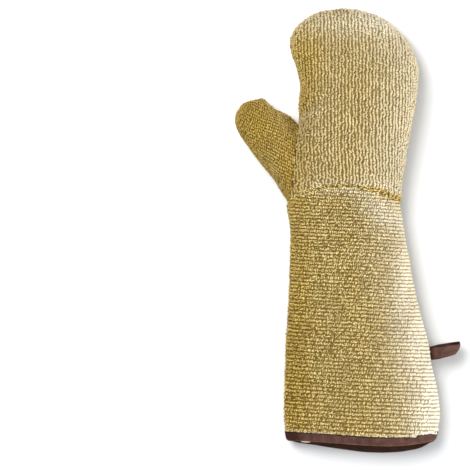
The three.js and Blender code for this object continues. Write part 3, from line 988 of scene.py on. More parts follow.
def make_gauntlet_loops():
    """Loops slant across their row, more so on the flanks, and puff up beside the tape that
    presses their neighbours down."""
    feet, rib = gauntlet_feet()
    n = len(rib)
    y = feet.point[:, 1].copy()
    across = 0.45 * drift(feet.point[:, 0], feet.point[:, 1], rib) + jitter(n, 0.1)
    feet.shift(jitter(n, 0.35), across)
    puff = 1 - smooth(above_tape(feet.point), TAPE_WIDTH, TAPE_WIDTH + PUFF_RUN)
    flat = np.abs(feet.normal[:, 2])
    look = {
        "slant": np.radians(63 + 16 * (1 - flat) + jitter(n, 11)),
        "length": 3.5 + jitter(n, 0.5),
        "height": 0.55 + 0.5 * flat + jitter(n, 0.3) + 0.9 * puff,
        "radius": 1.02 + jitter(n, 0.12),
        "sway": jitter(n, 0.25),
    }
    marks = terry_marks(feet)
    upper = feet.point[:, 2] > SPLIT_Z
    near_wrist = upper & (y > SPLIT_Y)
    parts = [
        ("gauntlet_loops_wrist", near_wrist, TOP_STEPS),
        ("gauntlet_loops_mouth", upper & ~near_wrist, TOP_STEPS),
        ("gauntlet_loops_under", ~upper, UNDER_STEPS),
    ]
    pieces = []
    for name, mask, steps in parts:
        sets = [{key: data[mask] for key, data in values.items()} for values in (look, marks)]
        part = feet.chosen(mask)
        pieces.append(yarn_loops(name, part, *sets, "terry_gauntlet", "gauntlet", steps))
    return pieces


gauntlet_loops = make_gauntlet_loops()
print("gauntlet loops:", triangles(*gauntlet_loops), "triangles")

# %% [markdown]
# The two seams are sewn with a thread that pulls the cloths together. It shows as a dark
# line between the loops that bulge over it. A cord like this is a profile carried along a
# path, with rings of points that stand square to the path.

# %% Thread of the seams
THREAD, THREAD_BURIED = 0.8, 2.0  # radius, and how much deeper it lies where it is covered
THREAD_UP, THREAD_DEPTH = 1.9, 1.5  # of the wrist thread: distance past its seam, and inset
THREAD_FADE = (-45, -28)  # places across between which it comes up
THREAD_POINTS = 480
SIDE_DEPTH, SIDE_START = 1.0, 38  # of the thumb thread: inset, and station of its end
SIDE_FADE = (40, 100)  # stations between which it comes up
CORD_SIDES = 8


def cord(name, middle, out, node, closed):
    """A thread along a line of points: at each, a ring of radius THREAD turned from the
    outward direction to the side. A closed thread runs back into its start, and an open one
    gets a cap at each end."""
    count = len(middle)
    if closed:
        run = np.roll(middle, -1, 0) - np.roll(middle, 1, 0)
    else:
        run = np.gradient(middle, axis=0)
    side = unit(np.cross(unit(run), out))
    theta = (np.arange(CORD_SIDES) * 2 * np.pi / CORD_SIDES)[:, None]
    ring = out[:, None] * np.cos(theta) + side[:, None] * np.sin(theta)
    points = middle[:, None] + THREAD * ring
    if not closed:
        ends = [np.repeat(middle[k, None, None], CORD_SIDES, 1) for k in (0, -1)]
        points = np.concatenate([ends[0], points, ends[1]])
        count += 2
    faces, r, c = grid_faces(count, CORD_SIDES, wrap_rows=closed, wrap_columns=True)
    uv = inside_square(c / CORD_SIDES, r / count)
    return new_piece(name, points, faces[:, ::-1], uv[:, ::-1], node)


def make_seam_threads():
    """One thread right round the wrist, and one up the seam beside the thumb. Each lies at
    its inset under the outside, plus THREAD_BURIED where it is covered."""
    angle = np.linspace(-np.pi, np.pi, THREAD_POINTS, endpoint=False)
    station = lambda x: wrist_seam(x) + THREAD_UP
    middle = body_follow(station, angle, THREAD_DEPTH)
    buried = THREAD_DEPTH + THREAD_BURIED * (1 - smooth(middle[:, 0], *THREAD_FADE))
    middle = body_follow(station, angle, buried)
    feet = Feet(lambda y, a: body_at(y, a, THREAD_DEPTH), middle[:, 1], angle)
    wrist = cord("wrist_thread", middle, feet.normal, "hand", True)
    shown = SEAM_Y > SIDE_START
    inset = SIDE_DEPTH + THREAD_BURIED * (1 - smooth(SEAM_Y[shown], *SIDE_FADE))
    surface = lambda y, a: body_at(y, a, inset)
    feet = Feet(surface, SEAM_Y[shown], SEAM_ANGLES[SEAM_NEAR][shown])
    side = cord("thumb_thread", feet.point, feet.normal, "hand", False)
    return wrist, side


seam_threads = make_seam_threads()
print("seam threads:", triangles(*seam_threads), "triangles")

# %% [markdown]
# A few single loops were pulled out of the knit in use. They are the same arches, only
# longer and thinner. One more thread lies along the mouth and shows as a pale sliver
# between the lips.

# %% Pulled loops and the thread in the mouth
PULLED = np.array([
    # x, y, length, turn in degrees
    (-8.4, -134, 13, 92),
    (13.6, -23.5, 13, 88),
    (-5.5, -22, 8, 118),
    (-1, -23, 7, 62),
    (-20, -92, 8, 100),
    (30, -150, 9, 84),
])
LIP_THREAD = (-50.5, -233.9, 22.0)  # x, y and length
LIP_HEIGHT = 2 * FOLD + 0.4  # just above the under lip's tape
LIP_SLOPE = 0.06
PULLED_ANGLES = np.linspace(0, np.pi, 400)  # tried, to find where each pulled loop stands


def make_pulled_loops():
    """Each loop's angle round the section is the one whose point lies nearest to its x."""
    x, y, length, turn = PULLED.T
    across = pile_at(y[:, None], PULLED_ANGLES[None])[..., 0]
    v = PULLED_ANGLES[np.argmin(np.abs(across - x[:, None]), axis=1)]
    feet = Feet(pile_at, y, v)
    n = len(x)
    feet.along = np.broadcast_to((1.0, 0, 0), (n, 3))
    feet.across = np.cross(feet.normal, feet.along)
    look = {
        "slant": np.radians(turn),
        "length": length,
        "height": np.full(n, 2.0),
        "radius": np.full(n, 0.7),
        "sway": jitter(n, 0.7),
    }
    marks = {"tone": np.full(n, 0.9), "patch": np.zeros(n), "pale": np.full(n, 0.1)}
    slot, node = "terry_gauntlet", "gauntlet"
    return yarn_loops("pulled_loops", feet, look, marks, slot, node, LONG_STEPS)


def make_lip_thread():
    """One long low loop on the under lip's tape, nearly straight along the mouth."""
    x, y, length = LIP_THREAD
    level = lambda a, b: np.stack([a, b, 0 * a + LIP_HEIGHT], -1)
    feet = Feet(level, np.array([x]), np.array([y]))
    feet.along, feet.across = np.array([(1, -LIP_SLOPE, 0)]), np.array([(LIP_SLOPE, 1, 0)])
    sizes = {"slant": 0, "length": length, "height": 0.6, "radius": 1.0, "sway": 0.4}
    look = {key: np.array([float(size)]) for key, size in sizes.items()}
    # its paleness is painted light at full strength
    marks = {"tone": np.ones(1), "patch": np.zeros(1), "pale": np.ones(1)}
    return yarn_loops("lip_thread", feet, look, marks, "terry_gauntlet", "gauntlet", LONG_STEPS)


pulled_loops = make_pulled_loops()
lip_thread = make_lip_thread()
print("pulled loops:", len(PULLED), "and a thread of", LIP_THREAD[2], "mm")

# %% [markdown]
# Where hand and gauntlet are sewn together, their loops lie any way, in a narrow ochre band
# that bulges over the thread. Towards its right end it gets wider and more ochre.

# %% Loops over the wrist seam
SEAM_STITCH = 2.9
SEAM_ROWS = np.arange(-0.2, SEAM_BAND + 0.3, 2.1)  # distances past the seam
SEAM_START = 2.0  # a row's first foot lies up to this far along it
SEAM_SWELLS = (14, 34)  # places across between which the band swells towards its end


def make_seam_loops():
    """Rows of feet that follow the seam's arch right round the wrist, each loop turned at
    random. Its ochre is a tenth, plus three tenths that come up towards the middle, plus
    seven tenths where the band swells."""
    station = lambda x: wrist_seam(x) + SEAM_ROWS[:, None]
    starts = rng.uniform(0, SEAM_START, len(SEAM_ROWS))
    wanted = lambda point: point[:, 0] > thumb_seam(point[:, 1]) + OFF_THUMB
    feet, _ = feet_round(station, len(SEAM_ROWS), SEAM_STITCH, starts, wanted)
    n = len(feet.point)
    end = smooth(feet.point[:, 0], *SEAM_SWELLS)
    across = jitter(n, 0.5) * (1 + end)
    feet.shift(jitter(n, 0.5), across)
    look = {
        "slant": rng.uniform(0, 2 * np.pi, n),
        "length": 3.3 + jitter(n, 0.5),
        "height": 1.2 + 0.35 * end + jitter(n, 0.5),
        "radius": 0.88 + 0.14 * end + jitter(n, 0.14),
        "sway": jitter(n, 0.4),
    }
    ochre = 0.1 + 0.3 * smooth(feet.point[:, 0], -40, 0) + 0.7 * end
    marks = terry_marks(feet, patch=ochre, pale=0.1 * painted_light(feet.point))
    return yarn_loops("seam_loops", feet, look, marks, "terry_hand", "hand")


seam_loops = make_seam_loops()
print("seam loops:", triangles(seam_loops), "triangles")

# %% [markdown]
# The thumb is of a finer knit. Its ribs run along it, turned a little against its axis at
# the base and more at the tip, and on the underside they turn the other way.

# %% Feet of the thumb's loops
THUMB_RIB = 3.3
THUMB_RIBS_ACROSS = np.arange(-40, 41)
THUMB_STITCH = 2.4
THUMB_LEAN = (14, 36)  # degrees between the ribs and the thumb, at its base and its tip
THUMB_TRACED = np.linspace(0.5, 10.9, 240)  # positions at which the ribs are traced
OFF_HAND = 0.2  # how far the feet stay off the hand's seam


def thumb_feet(side):
    """Ribs are counted round each slice from its middle, and shift sideways along the thumb
    by the tangent of their lean."""
    surface = lambda p, a: thumb_at(p, side * a, PILE)
    p = THUMB_TRACED
    angle = np.linspace(0, np.pi, FINE)
    points = surface(p[:, None], angle[None])
    length = lengths(points)
    centre = FINE // 2
    length -= length[:, centre:centre + 1]
    axis = lengths(points[None, :, centre])[0]
    lean = np.tan(np.radians(np.interp(p, (p[0], p[-1]), THUMB_LEAN)))
    ribs = THUMB_RIBS_ACROSS * THUMB_RIB
    wanted = ribs[:, None] + np.cumsum(lean * np.gradient(axis))[None] * side
    chosen = np.array([np.interp(wanted[:, k], length[k], angle) for k in range(len(p))]).T
    inside = (wanted > length[:, 0]) & (wanted < length[:, -1])
    start = rng.uniform(0, THUMB_STITCH, len(ribs))
    rib, place = evenly(surface(p[None], chosen), THUMB_STITCH, start)
    keep = between(inside, rib, place) > NEARLY_ONE
    u = between(np.broadcast_to(p, chosen.shape), rib, place)[keep]
    feet = Feet(surface, u, between(chosen, rib, place)[keep], side)
    x, y, _ = feet.point.T
    keep = (x < thumb_seam(y) - OFF_HAND) & (y > wrist_seam(x) + OFF_WRIST)
    return feet.chosen(keep), u[keep]


print("thumb:", len(THUMB_RIBS_ACROSS), "ribs at most, every", THUMB_RIB, "mm")

# %% Loops of the thumb
THUMB_OUTER = (8, 50)  # distances from the seam over which the yarn gets more ochre, partly its tone and partly painted shade on the thumb's outer side


def make_thumb_loops(upper):
    """Loops slant against their rib. Their ochre, partly the yarn's tone and partly painted shade,
    is that of the patches plus a fifth, plus four fifths that come up away from the hand."""
    feet, u = thumb_feet(1 if upper else -1)
    n = len(u)
    across = 0.4 * drift(feet.point[:, 0], feet.point[:, 1], u) + jitter(n, 0.14)
    feet.shift(jitter(n, 0.3), across)
    look = {
        "slant": np.radians(-34 + jitter(n, 14)),
        "length": 3.5 + jitter(n, 0.4),
        "height": 0.95 + jitter(n, 0.2),
        "radius": 0.98 + jitter(n, 0.1),
        "sway": jitter(n, 0.25),
    }
    outer = smooth(thumb_seam(feet.point[:, 1]) - feet.point[:, 0], *THUMB_OUTER)
    ochre = np.clip(patches(OCHRE_AND_SHADE, feet.point) + 0.2 + 0.8 * outer, 0, 1)
    marks = terry_marks(feet, patch=ochre, pale=np.zeros(n))
    ending, steps = top_or_under(upper)
    return yarn_loops("thumb_loops_" + ending, feet, look, marks, "terry_thumb", "thumb", steps)


thumb_loops = [make_thumb_loops(True), make_thumb_loops(False)]
print("thumb loops:", triangles(*thumb_loops), "triangles")

# %% [markdown]
# Beside the mouth's tape the last loops are pushed up and hang over its woven edge as a
# ragged pale fringe. Because the ribs run a little aslant, they end at the tape in steps,
# and this one row that follows the tape itself hides them.

# %% Fringe over the tape
FRINGE_UP = 0.9  # how far past the tape's edge its loops stand
FRINGE_STITCH = 2.0


def make_fringe():
    """One row of loops round the mouth, each lying across the tape's edge. They are less ochre than
    the patches, 0.6 times, and get more painted light than the cloth: 0.2 plus 0.8 times."""
    station = lambda x: mouth_edge(x, ROUND > 0) + TAPE_WIDTH + FRINGE_UP
    feet, _ = feet_round(station, 1, FRINGE_STITCH, [0])
    n = len(feet.point)
    across = jitter(n, 0.35)
    feet.shift(jitter(n, 0.4), across)
    look = {
        "slant": np.radians(82 + jitter(n, 16)),
        "length": 3.2 + jitter(n, 0.5),
        "height": 1.3 + jitter(n, 0.3),
        "radius": 0.86 + jitter(n, 0.12),
        "sway": jitter(n, 0.25),
    }
    ochre, pale = 0.6 * patches(OCHRE_AND_SHADE, feet.point), 0.2 + 0.8 * painted_light(feet.point)
    marks = terry_marks(feet, ochre, pale)
    return yarn_loops("fringe", feet, look, marks, "terry_gauntlet", "gauntlet")


fringe = make_fringe()
print("fringe:", triangles(fringe), "triangles")

# %% [markdown]
# The edge of the mouth is bound with woven ribbon, folded over the squeezed terry: a leg
# outside, a half-round fold and a leg inside. Its outline is worked out once and swept round
# the mouth, where it follows both lips because each point of it is a place on the body.

# %% Binding of the mouth
BINDING_COLUMNS, BEND_POINTS, LEG_POINTS = 260, 9, 8
SHADED_LEFT = (44, 62)  # distance left of the middle over which the tape goes dark


def binding_profile():
    """Pairs of distance back from the fold and depth under the outside, up one side of the
    tape and back down the other. The legs are straight, and each side's bend is half a
    circle."""
    bend = np.linspace(0, np.pi, BEND_POINTS)
    leg = np.linspace(TAPE_WIDTH, FOLD, LEG_POINTS)[:-1]
    small = FOLD - TAPE
    outer = [(back, 0.0) for back in leg]
    outer += [(FOLD - FOLD * math.sin(t), FOLD - FOLD * math.cos(t)) for t in bend]
    outer += [(back, 2 * FOLD) for back in leg[::-1]]
    inner = [(back, 2 * FOLD - TAPE) for back in leg]
    inner += [(FOLD - small * math.sin(t), FOLD + small * math.cos(t)) for t in bend]
    inner += [(back, TAPE) for back in leg[::-1]]
    return np.array(outer + inner)


def make_binding():
    """The profile swept round the mouth, as a closed wall as thick as the tape. Each point
    carries its share of the way across the tape, and a shade: 0.3, plus 0.7 at the left."""
    profile = binding_profile()
    rows, columns = len(profile), BINDING_COLUMNS
    angle = np.linspace(-np.pi, np.pi, columns, endpoint=False)
    field = np.broadcast_to(angle, (rows, columns))
    station = lambda x: mouth_edge(x, field > 0) + profile[:, :1]
    points = body_follow(station, field, profile[:, 1:])
    across = np.linspace(0, 1, rows // 2)
    run = np.broadcast_to(np.concatenate([across, across[::-1]])[:, None], field.shape)
    shade = 0.3 + 0.7 * smooth(-points[..., 0], *SHADED_LEFT)
    faces, r, c = grid_faces(rows, columns, wrap_rows=True, wrap_columns=True)
    uv = inside_square(c / columns, r / rows)
    values = {"run": run, "shade": shade}
    return new_piece("mouth_binding", points, faces, uv, "cuff_binding", values)


binding = make_binding()
print("binding:", triangles(binding), "triangles")

# %% [markdown]
# The hanging loop is the same ribbon, folded back on itself and sewn into the side. The two plies
# don't lie quite on each other, so an edge of the lower one peeps out beyond the upper one, and far
# out it is dark with painted shade.

# %% Outline of the hanging loop
LOOP_LENGTH, LOOP_OPENING = 38.1, 9.0
LOOP_START, LOOP_ROOT = 2.0, 9.0  # distances along it of its end and of where it opens
LOOP_BELLY = 0.75  # how far it is open half way along, as a share of its opening
TOGETHER = 0.05  # half the distance between the plies' inner faces at the end
LOOP_COUNT = 60


def loop_outline(grow):
    """Side view of the folded tape: a smooth curve through seven points, from the seam out
    along one ply, round the fold and back along the other."""
    half = LOOP_OPENING / 2
    knots = np.array([
        (LOOP_ROOT, grow + GAP / 2),
        (LOOP_LENGTH / 2, half * LOOP_BELLY + grow),
        (LOOP_LENGTH - half - TAPE, half + grow),
        (LOOP_LENGTH - TAPE + grow, 0),
        (LOOP_LENGTH - half - TAPE, -half - grow),
        (LOOP_LENGTH / 2, -half * LOOP_BELLY - grow),
        (LOOP_ROOT, -grow - GAP / 2),
    ])
    return through_rows(knots, np.linspace(0, len(knots) - 1, LOOP_COUNT))


def loop_section():
    """The whole side view: the outline of the tape's outer face, and back along that of its
    inner face, both run on to the end in the seam."""
    outer = np.concatenate([[(LOOP_START, TAPE)], loop_outline(TAPE), [(LOOP_START, -TAPE)]])
    inner = [[(LOOP_START, TOGETHER)], loop_outline(0), [(LOOP_START, -TOGETHER)]]
    return np.concatenate([outer, np.concatenate(inner)[::-1]])


print("the loop's outline has", len(loop_section()), "points")

# %% Hanging loop
LOOP_AT = np.array([89.0, -136.4, 26.0])  # the place of its end in the side seam
LOOP_WIDTH, LOOP_TAPER, LOOP_SKEW = 17.2, 0.3, 7.6
LOOP_TURN, LOOP_DROOP = math.radians(11.0), math.radians(14.0)
LOOP_COLUMNS = 18  # points across the tape
PEEK, PEEK_RUN = 2.4, (2, 14)  # how far the lower ply shows, and where this begins
PLY_STEP = 0.6  # height over which the colours go from one ply to the other
SHADED_EDGE = (0.05, 0.15)  # shares of the width over which the dark edge ends, partly the woven edge and partly painted shade
EDGE_RUN, PLAIN_RUN = 0.03, 0.25  # shares of the way across that are dark and plain
IN_SEAM, BROWN_ROOT = (90, 93.5), (94, 110)  # places across between which each one fades
FAR_OUT = (109, 119)  # places across between which the lower ply goes dark with painted shade


def turned(a, b, angle):
    """Two coordinates turned round the third by an angle: a cosine and a sine of each."""
    return a * math.cos(angle) - b * math.sin(angle), a * math.sin(angle) + b * math.cos(angle)


def loop_shade(along, lower):
    """How dark the tape is: 1 in the seam, plus 0.3 on the brown root, plus 1 on the lower
    ply far out, and never more than 1."""
    seam, brown = 1 - smooth(along, *IN_SEAM), 1 - smooth(along, *BROWN_ROOT)
    return np.clip(seam + 0.3 * brown + lower * smooth(along, *FAR_OUT), 0, 1)


def make_hanging_loop():
    """The section swept over the width, which tapers from the seam to the fold. The band is
    sheared towards one edge, tilted down and turned as it lies."""
    outline = loop_section()
    v = np.linspace(-0.5, 0.5, LOOP_COLUMNS)
    x, z = (np.broadcast_to(outline[:, k], (len(v), len(outline))).copy() for k in (0, 1))
    y = (v * (LOOP_WIDTH - PEEK))[:, None] * (1 - LOOP_TAPER * x / LOOP_LENGTH)
    lower = smooth(-z, -PLY_STEP, PLY_STEP)
    y += PEEK * (lower - 0.5) * smooth(x, *PEEK_RUN)
    x -= LOOP_SKEW * (0.5 - v[:, None]) ** 2 * x / LOOP_LENGTH
    x, z = turned(x, z, -LOOP_DROOP)
    x, y = turned(x, y, LOOP_TURN)
    points = np.stack([x, y, z], -1) + LOOP_AT
    half = len(outline) // 2
    middle = (points[:, :half] + points[:, half:][:, ::-1]) / 2
    edges = np.concatenate([middle, middle[:, ::-1]], 1)
    points = np.concatenate([edges[:1], points, edges[-1:]])
    lower = np.concatenate([lower[:1], lower, lower[-1:]])
    edge = smooth(0.5 - np.abs(np.concatenate([v[:1], v, v[-1:]])), *SHADED_EDGE)
    faces, r, c = grid_faces(len(points), len(outline), wrap_columns=True)
    uv = inside_square(c / len(outline), r / len(points))
    run = EDGE_RUN + (PLAIN_RUN - EDGE_RUN) * np.maximum(edge[:, None], lower)
    values = {"run": run, "shade": loop_shade(points[..., 0], lower)}
    return new_piece("tape_loop", points, faces, uv, "hanging_loop", values)


tape_loop = make_hanging_loop()
print("hanging loop:", triangles(tape_loop), "triangles")

# %% [markdown]
# Materials. The yarn's colour depends on how high a point stands in its loop: the crown is cream,
# the flanks go through straw to a dark olive down between the loops. This is painted shade between
# the loops and a painted highlight on their crowns, on top of what the light itself does. The twist
# of the yarn breaks this up at a scale of about a millimetre.
#
# All yarns and grounds share one unevenness of the dye, with its painted shade and painted light,
# and all yarns one way to be coloured, so each of these is a node group: a small machine with named
# inputs and outputs that is built once and placed in each material with its own colours.

# %% Helpers for node trees


class Nodes:
    """Short ways to add and join nodes in one tree."""

    def __init__(self, tree):
        self.tree = tree

    def put(self, value, socket):
        """Links a socket's value in, or writes a plain value."""
        if isinstance(value, bpy.types.NodeSocket):
            self.tree.links.new(value, socket)
        else:
            socket.default_value = value

    def add(self, kind, inputs=None, **settings):
        """A new node of a kind, with its inputs and settings."""
        node = self.tree.nodes.new("ShaderNode" + kind)
        for key, value in settings.items():
            setattr(node, key, value)
        for key, value in (inputs or {}).items():
            self.put(value, node.inputs[key])
        return node

    def number(self, name):
        """A number that the mesh carries at each point."""
        return self.add("Attribute", attribute_name=name).outputs["Fac"]

    def place(self):
        """Where a point lies on its own piece."""
        return self.add("TexCoord").outputs["Object"]

    def noise(self, scale, detail):
        """Cloudy noise from 0 to 1 round a half, finer with more scale and detail."""
        inputs = {"Vector": self.place(), "Scale": scale, "Detail": detail}
        return self.add("TexNoise", inputs).outputs["Fac"]

    def ramp(self, factor, stops):
        """A colour that runs straight from stop to stop as the factor grows."""
        node = self.add("ValToRGB", {"Fac": factor})
        elements = node.color_ramp.elements
        while len(elements) < len(stops):
            elements.new(0.5)
        for element, (place, colour) in zip(elements, stops):
            element.position = place
            element.color = colour
        return node.outputs["Color"]

    def rise(self, value, low, high):
        """From 0 at low to 1 at high, straight, and level outside."""
        inputs = {"Value": value, "From Min": low, "From Max": high}
        return self.add("MapRange", inputs).outputs["Result"]

    def mix(self, factor, a, b, blend="MIX"):
        """Colours a and b mixed. The node has sockets of many types under the same names, so
        the right ones are found by their identifiers."""
        node = self.add("Mix", data_type="RGBA", blend_type=blend)
        sockets = {socket.identifier: socket for socket in node.inputs}
        self.put(factor, sockets["Factor_Float"])
        self.put(a, sockets["A_Color"])
        self.put(b, sockets["B_Color"])
        return next(socket for socket in node.outputs if socket.type == "RGBA")

    def math(self, operation, a, b):
        """A sum, difference or product of two numbers."""
        return self.add("Math", {0: a, 1: b}, operation=operation).outputs[0]

    def group(self, tree, inputs):
        """A node group placed with its inputs, giving its outputs."""
        node = self.add("Group", node_tree=tree)
        for key, value in inputs.items():
            self.put(value, node.inputs[key])
        return node.outputs

    def bump(self, height, strength, distance):
        """A normal that leans as if the surface had the height times the distance."""
        inputs = {"Height": height, "Strength": strength, "Distance": distance}
        return self.add("Bump", inputs).outputs["Normal"]


print("node helpers:", [name for name in vars(Nodes) if not name.startswith("_")])

# %% Node groups and colours


def new_group(name, inputs, outputs):
    """An empty node group with named sockets: its tree, its node helpers, the sockets that
    bring values in and those that take the results."""
    tree = bpy.data.node_groups.new(name, "ShaderNodeTree")
    for in_out, sockets in (("INPUT", inputs), ("OUTPUT", outputs)):
        for key, kind in sockets.items():
            tree.interface.new_socket(key, in_out=in_out, socket_type="NodeSocket" + kind)
    given = tree.nodes.new("NodeGroupInput").outputs
    result = tree.nodes.new("NodeGroupOutput").inputs
    return tree, Nodes(tree), given, result


def srgb(red, green, blue):
    """Linear colour from an 8-bit one: ((c + 0.055) / 1.055)^2.4 for all but the darkest."""
    linear = lambda c: c / 12.92 if c <= 0.04045 else ((c + 0.055) / 1.055) ** 2.4
    return (*(linear(v / 255) for v in (red, green, blue)), 1)


print("middle grey is", round(srgb(128, 128, 128)[0], 3), "in linear light")

# %% Uneven dye with painted shade and painted light, shared by all terry
# the colour that painted light pales the yarn towards
PAINTED_LIGHT_COLOUR = srgb(247, 240, 222)
OCHRE_TINT = (0.92, 0.79, 0.28, 1)
OCHRE_SHARE = 0.72


def dye_and_light_group():
    """A colour times ochre where patch is high, which is partly the yarn's tone and partly painted
    shade, then mixed towards the colour of painted light by pale times PaintedLight."""
    sockets = {"Color": "Color", "PaintedLight": "Float"}
    tree, nodes, given, result = new_group("dye_and_painted_light", sockets, {"Color": "Color"})
    ochre = nodes.math("MULTIPLY", nodes.number("patch"), OCHRE_SHARE)
    colour = nodes.mix(ochre, given["Color"], OCHRE_TINT, "MULTIPLY")
    lighten = nodes.math("MULTIPLY", nodes.number("pale"), given["PaintedLight"])
    nodes.put(nodes.mix(lighten, colour, PAINTED_LIGHT_COLOUR), result["Color"])
    return tree


dye_and_painted_light = dye_and_light_group()
print("group", dye_and_painted_light.name, "with", len(dye_and_painted_light.nodes), "nodes")

# %% Colour and fuzz of looped yarn
# how strongly painted light pales yarn and ground
YARN_PAINTED_LIGHT, GROUND_PAINTED_LIGHT = 0.95, 0.25
LIFT_SHARE, TONE_SHARE = 0.75, 0.35
TWIST_SCALE, TWIST_MIDDLE = 900.0, 0.52
DEEP_AT, MIDDLE_AT, CROWN_AT = 0.05, 0.45, 1.0  # levels of the three colours
CLOUD_SCALE, CLOUD_LEAST, CLOUD_RANGE = 28.0, 0.78, 0.4
FUZZ_SCALE = 2600.0


def yarn_group():
    """The level is LIFT_SHARE times lift, plus TONE_SHARE times tone, plus Speckle times the
    twist's noise less its middle. The colour goes with the level from Deep through Middle to Crown,
    which paints shade down between the loops and a highlight on their crowns, and clouds a few
    centimetres wide make it a little lighter or darker. Fuzz is a height for a bump."""
    colours = {"Deep": "Color", "Middle": "Color", "Crown": "Color", "Speckle": "Float"}
    outputs = {"Color": "Color", "Fuzz": "Float"}
    tree, nodes, given, result = new_group("looped_yarn", colours, outputs)
    lift = nodes.math("MULTIPLY", nodes.number("lift"), LIFT_SHARE)
    tone = nodes.math("MULTIPLY", nodes.number("tone"), TONE_SHARE)
    twist = nodes.math("SUBTRACT", nodes.noise(TWIST_SCALE, detail=1.0), TWIST_MIDDLE)
    twist = nodes.math("MULTIPLY", twist, given["Speckle"])
    level = nodes.math("ADD", nodes.math("ADD", lift, tone), twist)
    to_middle = nodes.rise(level, DEEP_AT, MIDDLE_AT)
    colour = nodes.mix(to_middle, given["Deep"], given["Middle"])
    to_crown = nodes.rise(level, MIDDLE_AT, CROWN_AT)
    colour = nodes.mix(to_crown, colour, given["Crown"])
    colour = nodes.group(dye_and_painted_light, {"Color": colour, "PaintedLight": YARN_PAINTED_LIGHT})["Color"]
    cloud = nodes.math("MULTIPLY", nodes.noise(CLOUD_SCALE, detail=3.0), CLOUD_RANGE)
    cloud = nodes.math("ADD", cloud, CLOUD_LEAST)
    cloud = nodes.add("CombineColor", {0: cloud, 1: cloud, 2: cloud}).outputs[0]
    nodes.put(nodes.mix(1.0, colour, cloud, "MULTIPLY"), result["Color"])
    nodes.put(nodes.noise(FUZZ_SCALE, detail=2.0), result["Fuzz"])
    return tree


looped_yarn = yarn_group()
print("group", looped_yarn.name, "with", len(looped_yarn.nodes), "nodes")

# %% Yarn and ground materials
KNIT_SCALE = 75.0  # gives the bands of a wave texture the spacing of the knit's ribs
YARNS = {
    # deep, middle and crown colour, which paint shade between the loops and a highlight on their
    # crowns, and how much the twist speckles them
    "hand_yarn": ((120, 97, 40), (180, 156, 98), (214, 196, 150), 3.0),
    "gauntlet_yarn": ((92, 62, 4), (182, 153, 71), (243, 224, 159), 6.8),
    "thumb_yarn": ((116, 90, 28), (174, 148, 76), (198, 175, 110), 3.0),
    "seam_yarn": ((76, 52, 8), (176, 146, 64), (238, 219, 154), 5.0),
}
GROUNDS = {
    # dark and light colour, the axis across the ribs, and how much these stand out
    "seam_thread": ((88, 64, 18), (120, 92, 34), "X", 0.0),
    "hand_knit": ((128, 106, 52), (154, 131, 74), "X", 1.0),
    "gauntlet_knit": ((112, 86, 22), (142, 115, 42), "Y", 1.0),
}


def new_material(name, roughness, sheen=0.0, specular=0.25):
    """A material with its node helpers and the inputs of its shader."""
    material = bpy.data.materials.new(name)
    material.use_nodes = True
    shader = material.node_tree.nodes["Principled BSDF"]
    shader.inputs["Roughness"].default_value = roughness
    shader.inputs["Specular IOR Level"].default_value = specular
    shader.inputs["Sheen Weight"].default_value = sheen
    shader.inputs["Sheen Roughness"].default_value = 0.5
    return material, Nodes(material.node_tree), shader.inputs


def yarn_material(name, deep, middle, crown, speckle):
    """Cotton yarn, quite matt, with a little sheen from its loose fibres."""
    material, nodes, shader = new_material(name, roughness=0.95, sheen=0.1)
    colours = {"Deep": srgb(*deep), "Middle": srgb(*middle), "Crown": srgb(*crown)}
    yarn = nodes.group(looped_yarn, {**colours, "Speckle": speckle})
    nodes.put(yarn["Color"], shader["Base Color"])
    fuzz = nodes.bump(yarn["Fuzz"], strength=0.5, distance=0.3 * MM)
    nodes.put(fuzz, shader["Normal"])
    return material


def ground_material(name, dark, light, bands, ribs):
    """The knitted ground between the loops, a little uneven and dark: partly its own colour, partly
    painted shade under the loops. Inside the glove its ribs show as flat bands."""
    material, nodes, shader = new_material(name, roughness=0.95)
    noise = nodes.noise(scale=400.0, detail=3.0)
    colour = nodes.ramp(noise, [(0.3, srgb(*dark)), (0.7, srgb(*light))])
    dye = nodes.group(dye_and_painted_light, {"Color": colour, "PaintedLight": GROUND_PAINTED_LIGHT})
    nodes.put(dye["Color"], shader["Base Color"])
    inputs = {"Vector": nodes.place(), "Scale": KNIT_SCALE}
    wave = nodes.add("TexWave", inputs, bands_direction=bands).outputs["Fac"]
    height = nodes.math("ADD", noise, nodes.math("MULTIPLY", wave, ribs))
    nodes.put(nodes.bump(height, strength=0.6, distance=0.6 * MM), shader["Normal"])
    return material


materials = {name: yarn_material(name, *row) for name, row in YARNS.items()}
materials.update({name: ground_material(name, *row) for name, row in GROUNDS.items()})
print("terry materials:", list(materials))

# %% [markdown]
# The ribbon is reddish brown and hardly shines. A lighter brown line along its folded edge is a
# painted highlight, its inner side is darker with painted shade, and its outer edge is nearly
# black, partly its woven edge and partly painted shadow under the terry. All of this follows the
# way across the tape, which the mesh carries as a number.

# %% Tape material
TAPE_PLAIN = srgb(88, 62, 55)
TAPE_STOPS = [
    # share of the way across the tape, from its outer edge round the fold to its inner edge
    # nearly black outer edge: partly the woven edge, partly painted shadow under the terry
    (0.02, srgb(34, 17, 11)),
    (0.06, TAPE_PLAIN),
    (0.36, TAPE_PLAIN),
    # a painted highlight along the fold
    (0.41, srgb(122, 84, 60)),
    # painted shade on the inner side
    (0.46, srgb(50, 29, 20)),
]
TAPE_CLOUDS = [(0.3, (0.62, 0.6, 0.58, 1)), (0.7, (1.3, 1.28, 1.26, 1))]
TAPE_SHADE = (0.38, 0.24, 0.17, 1)


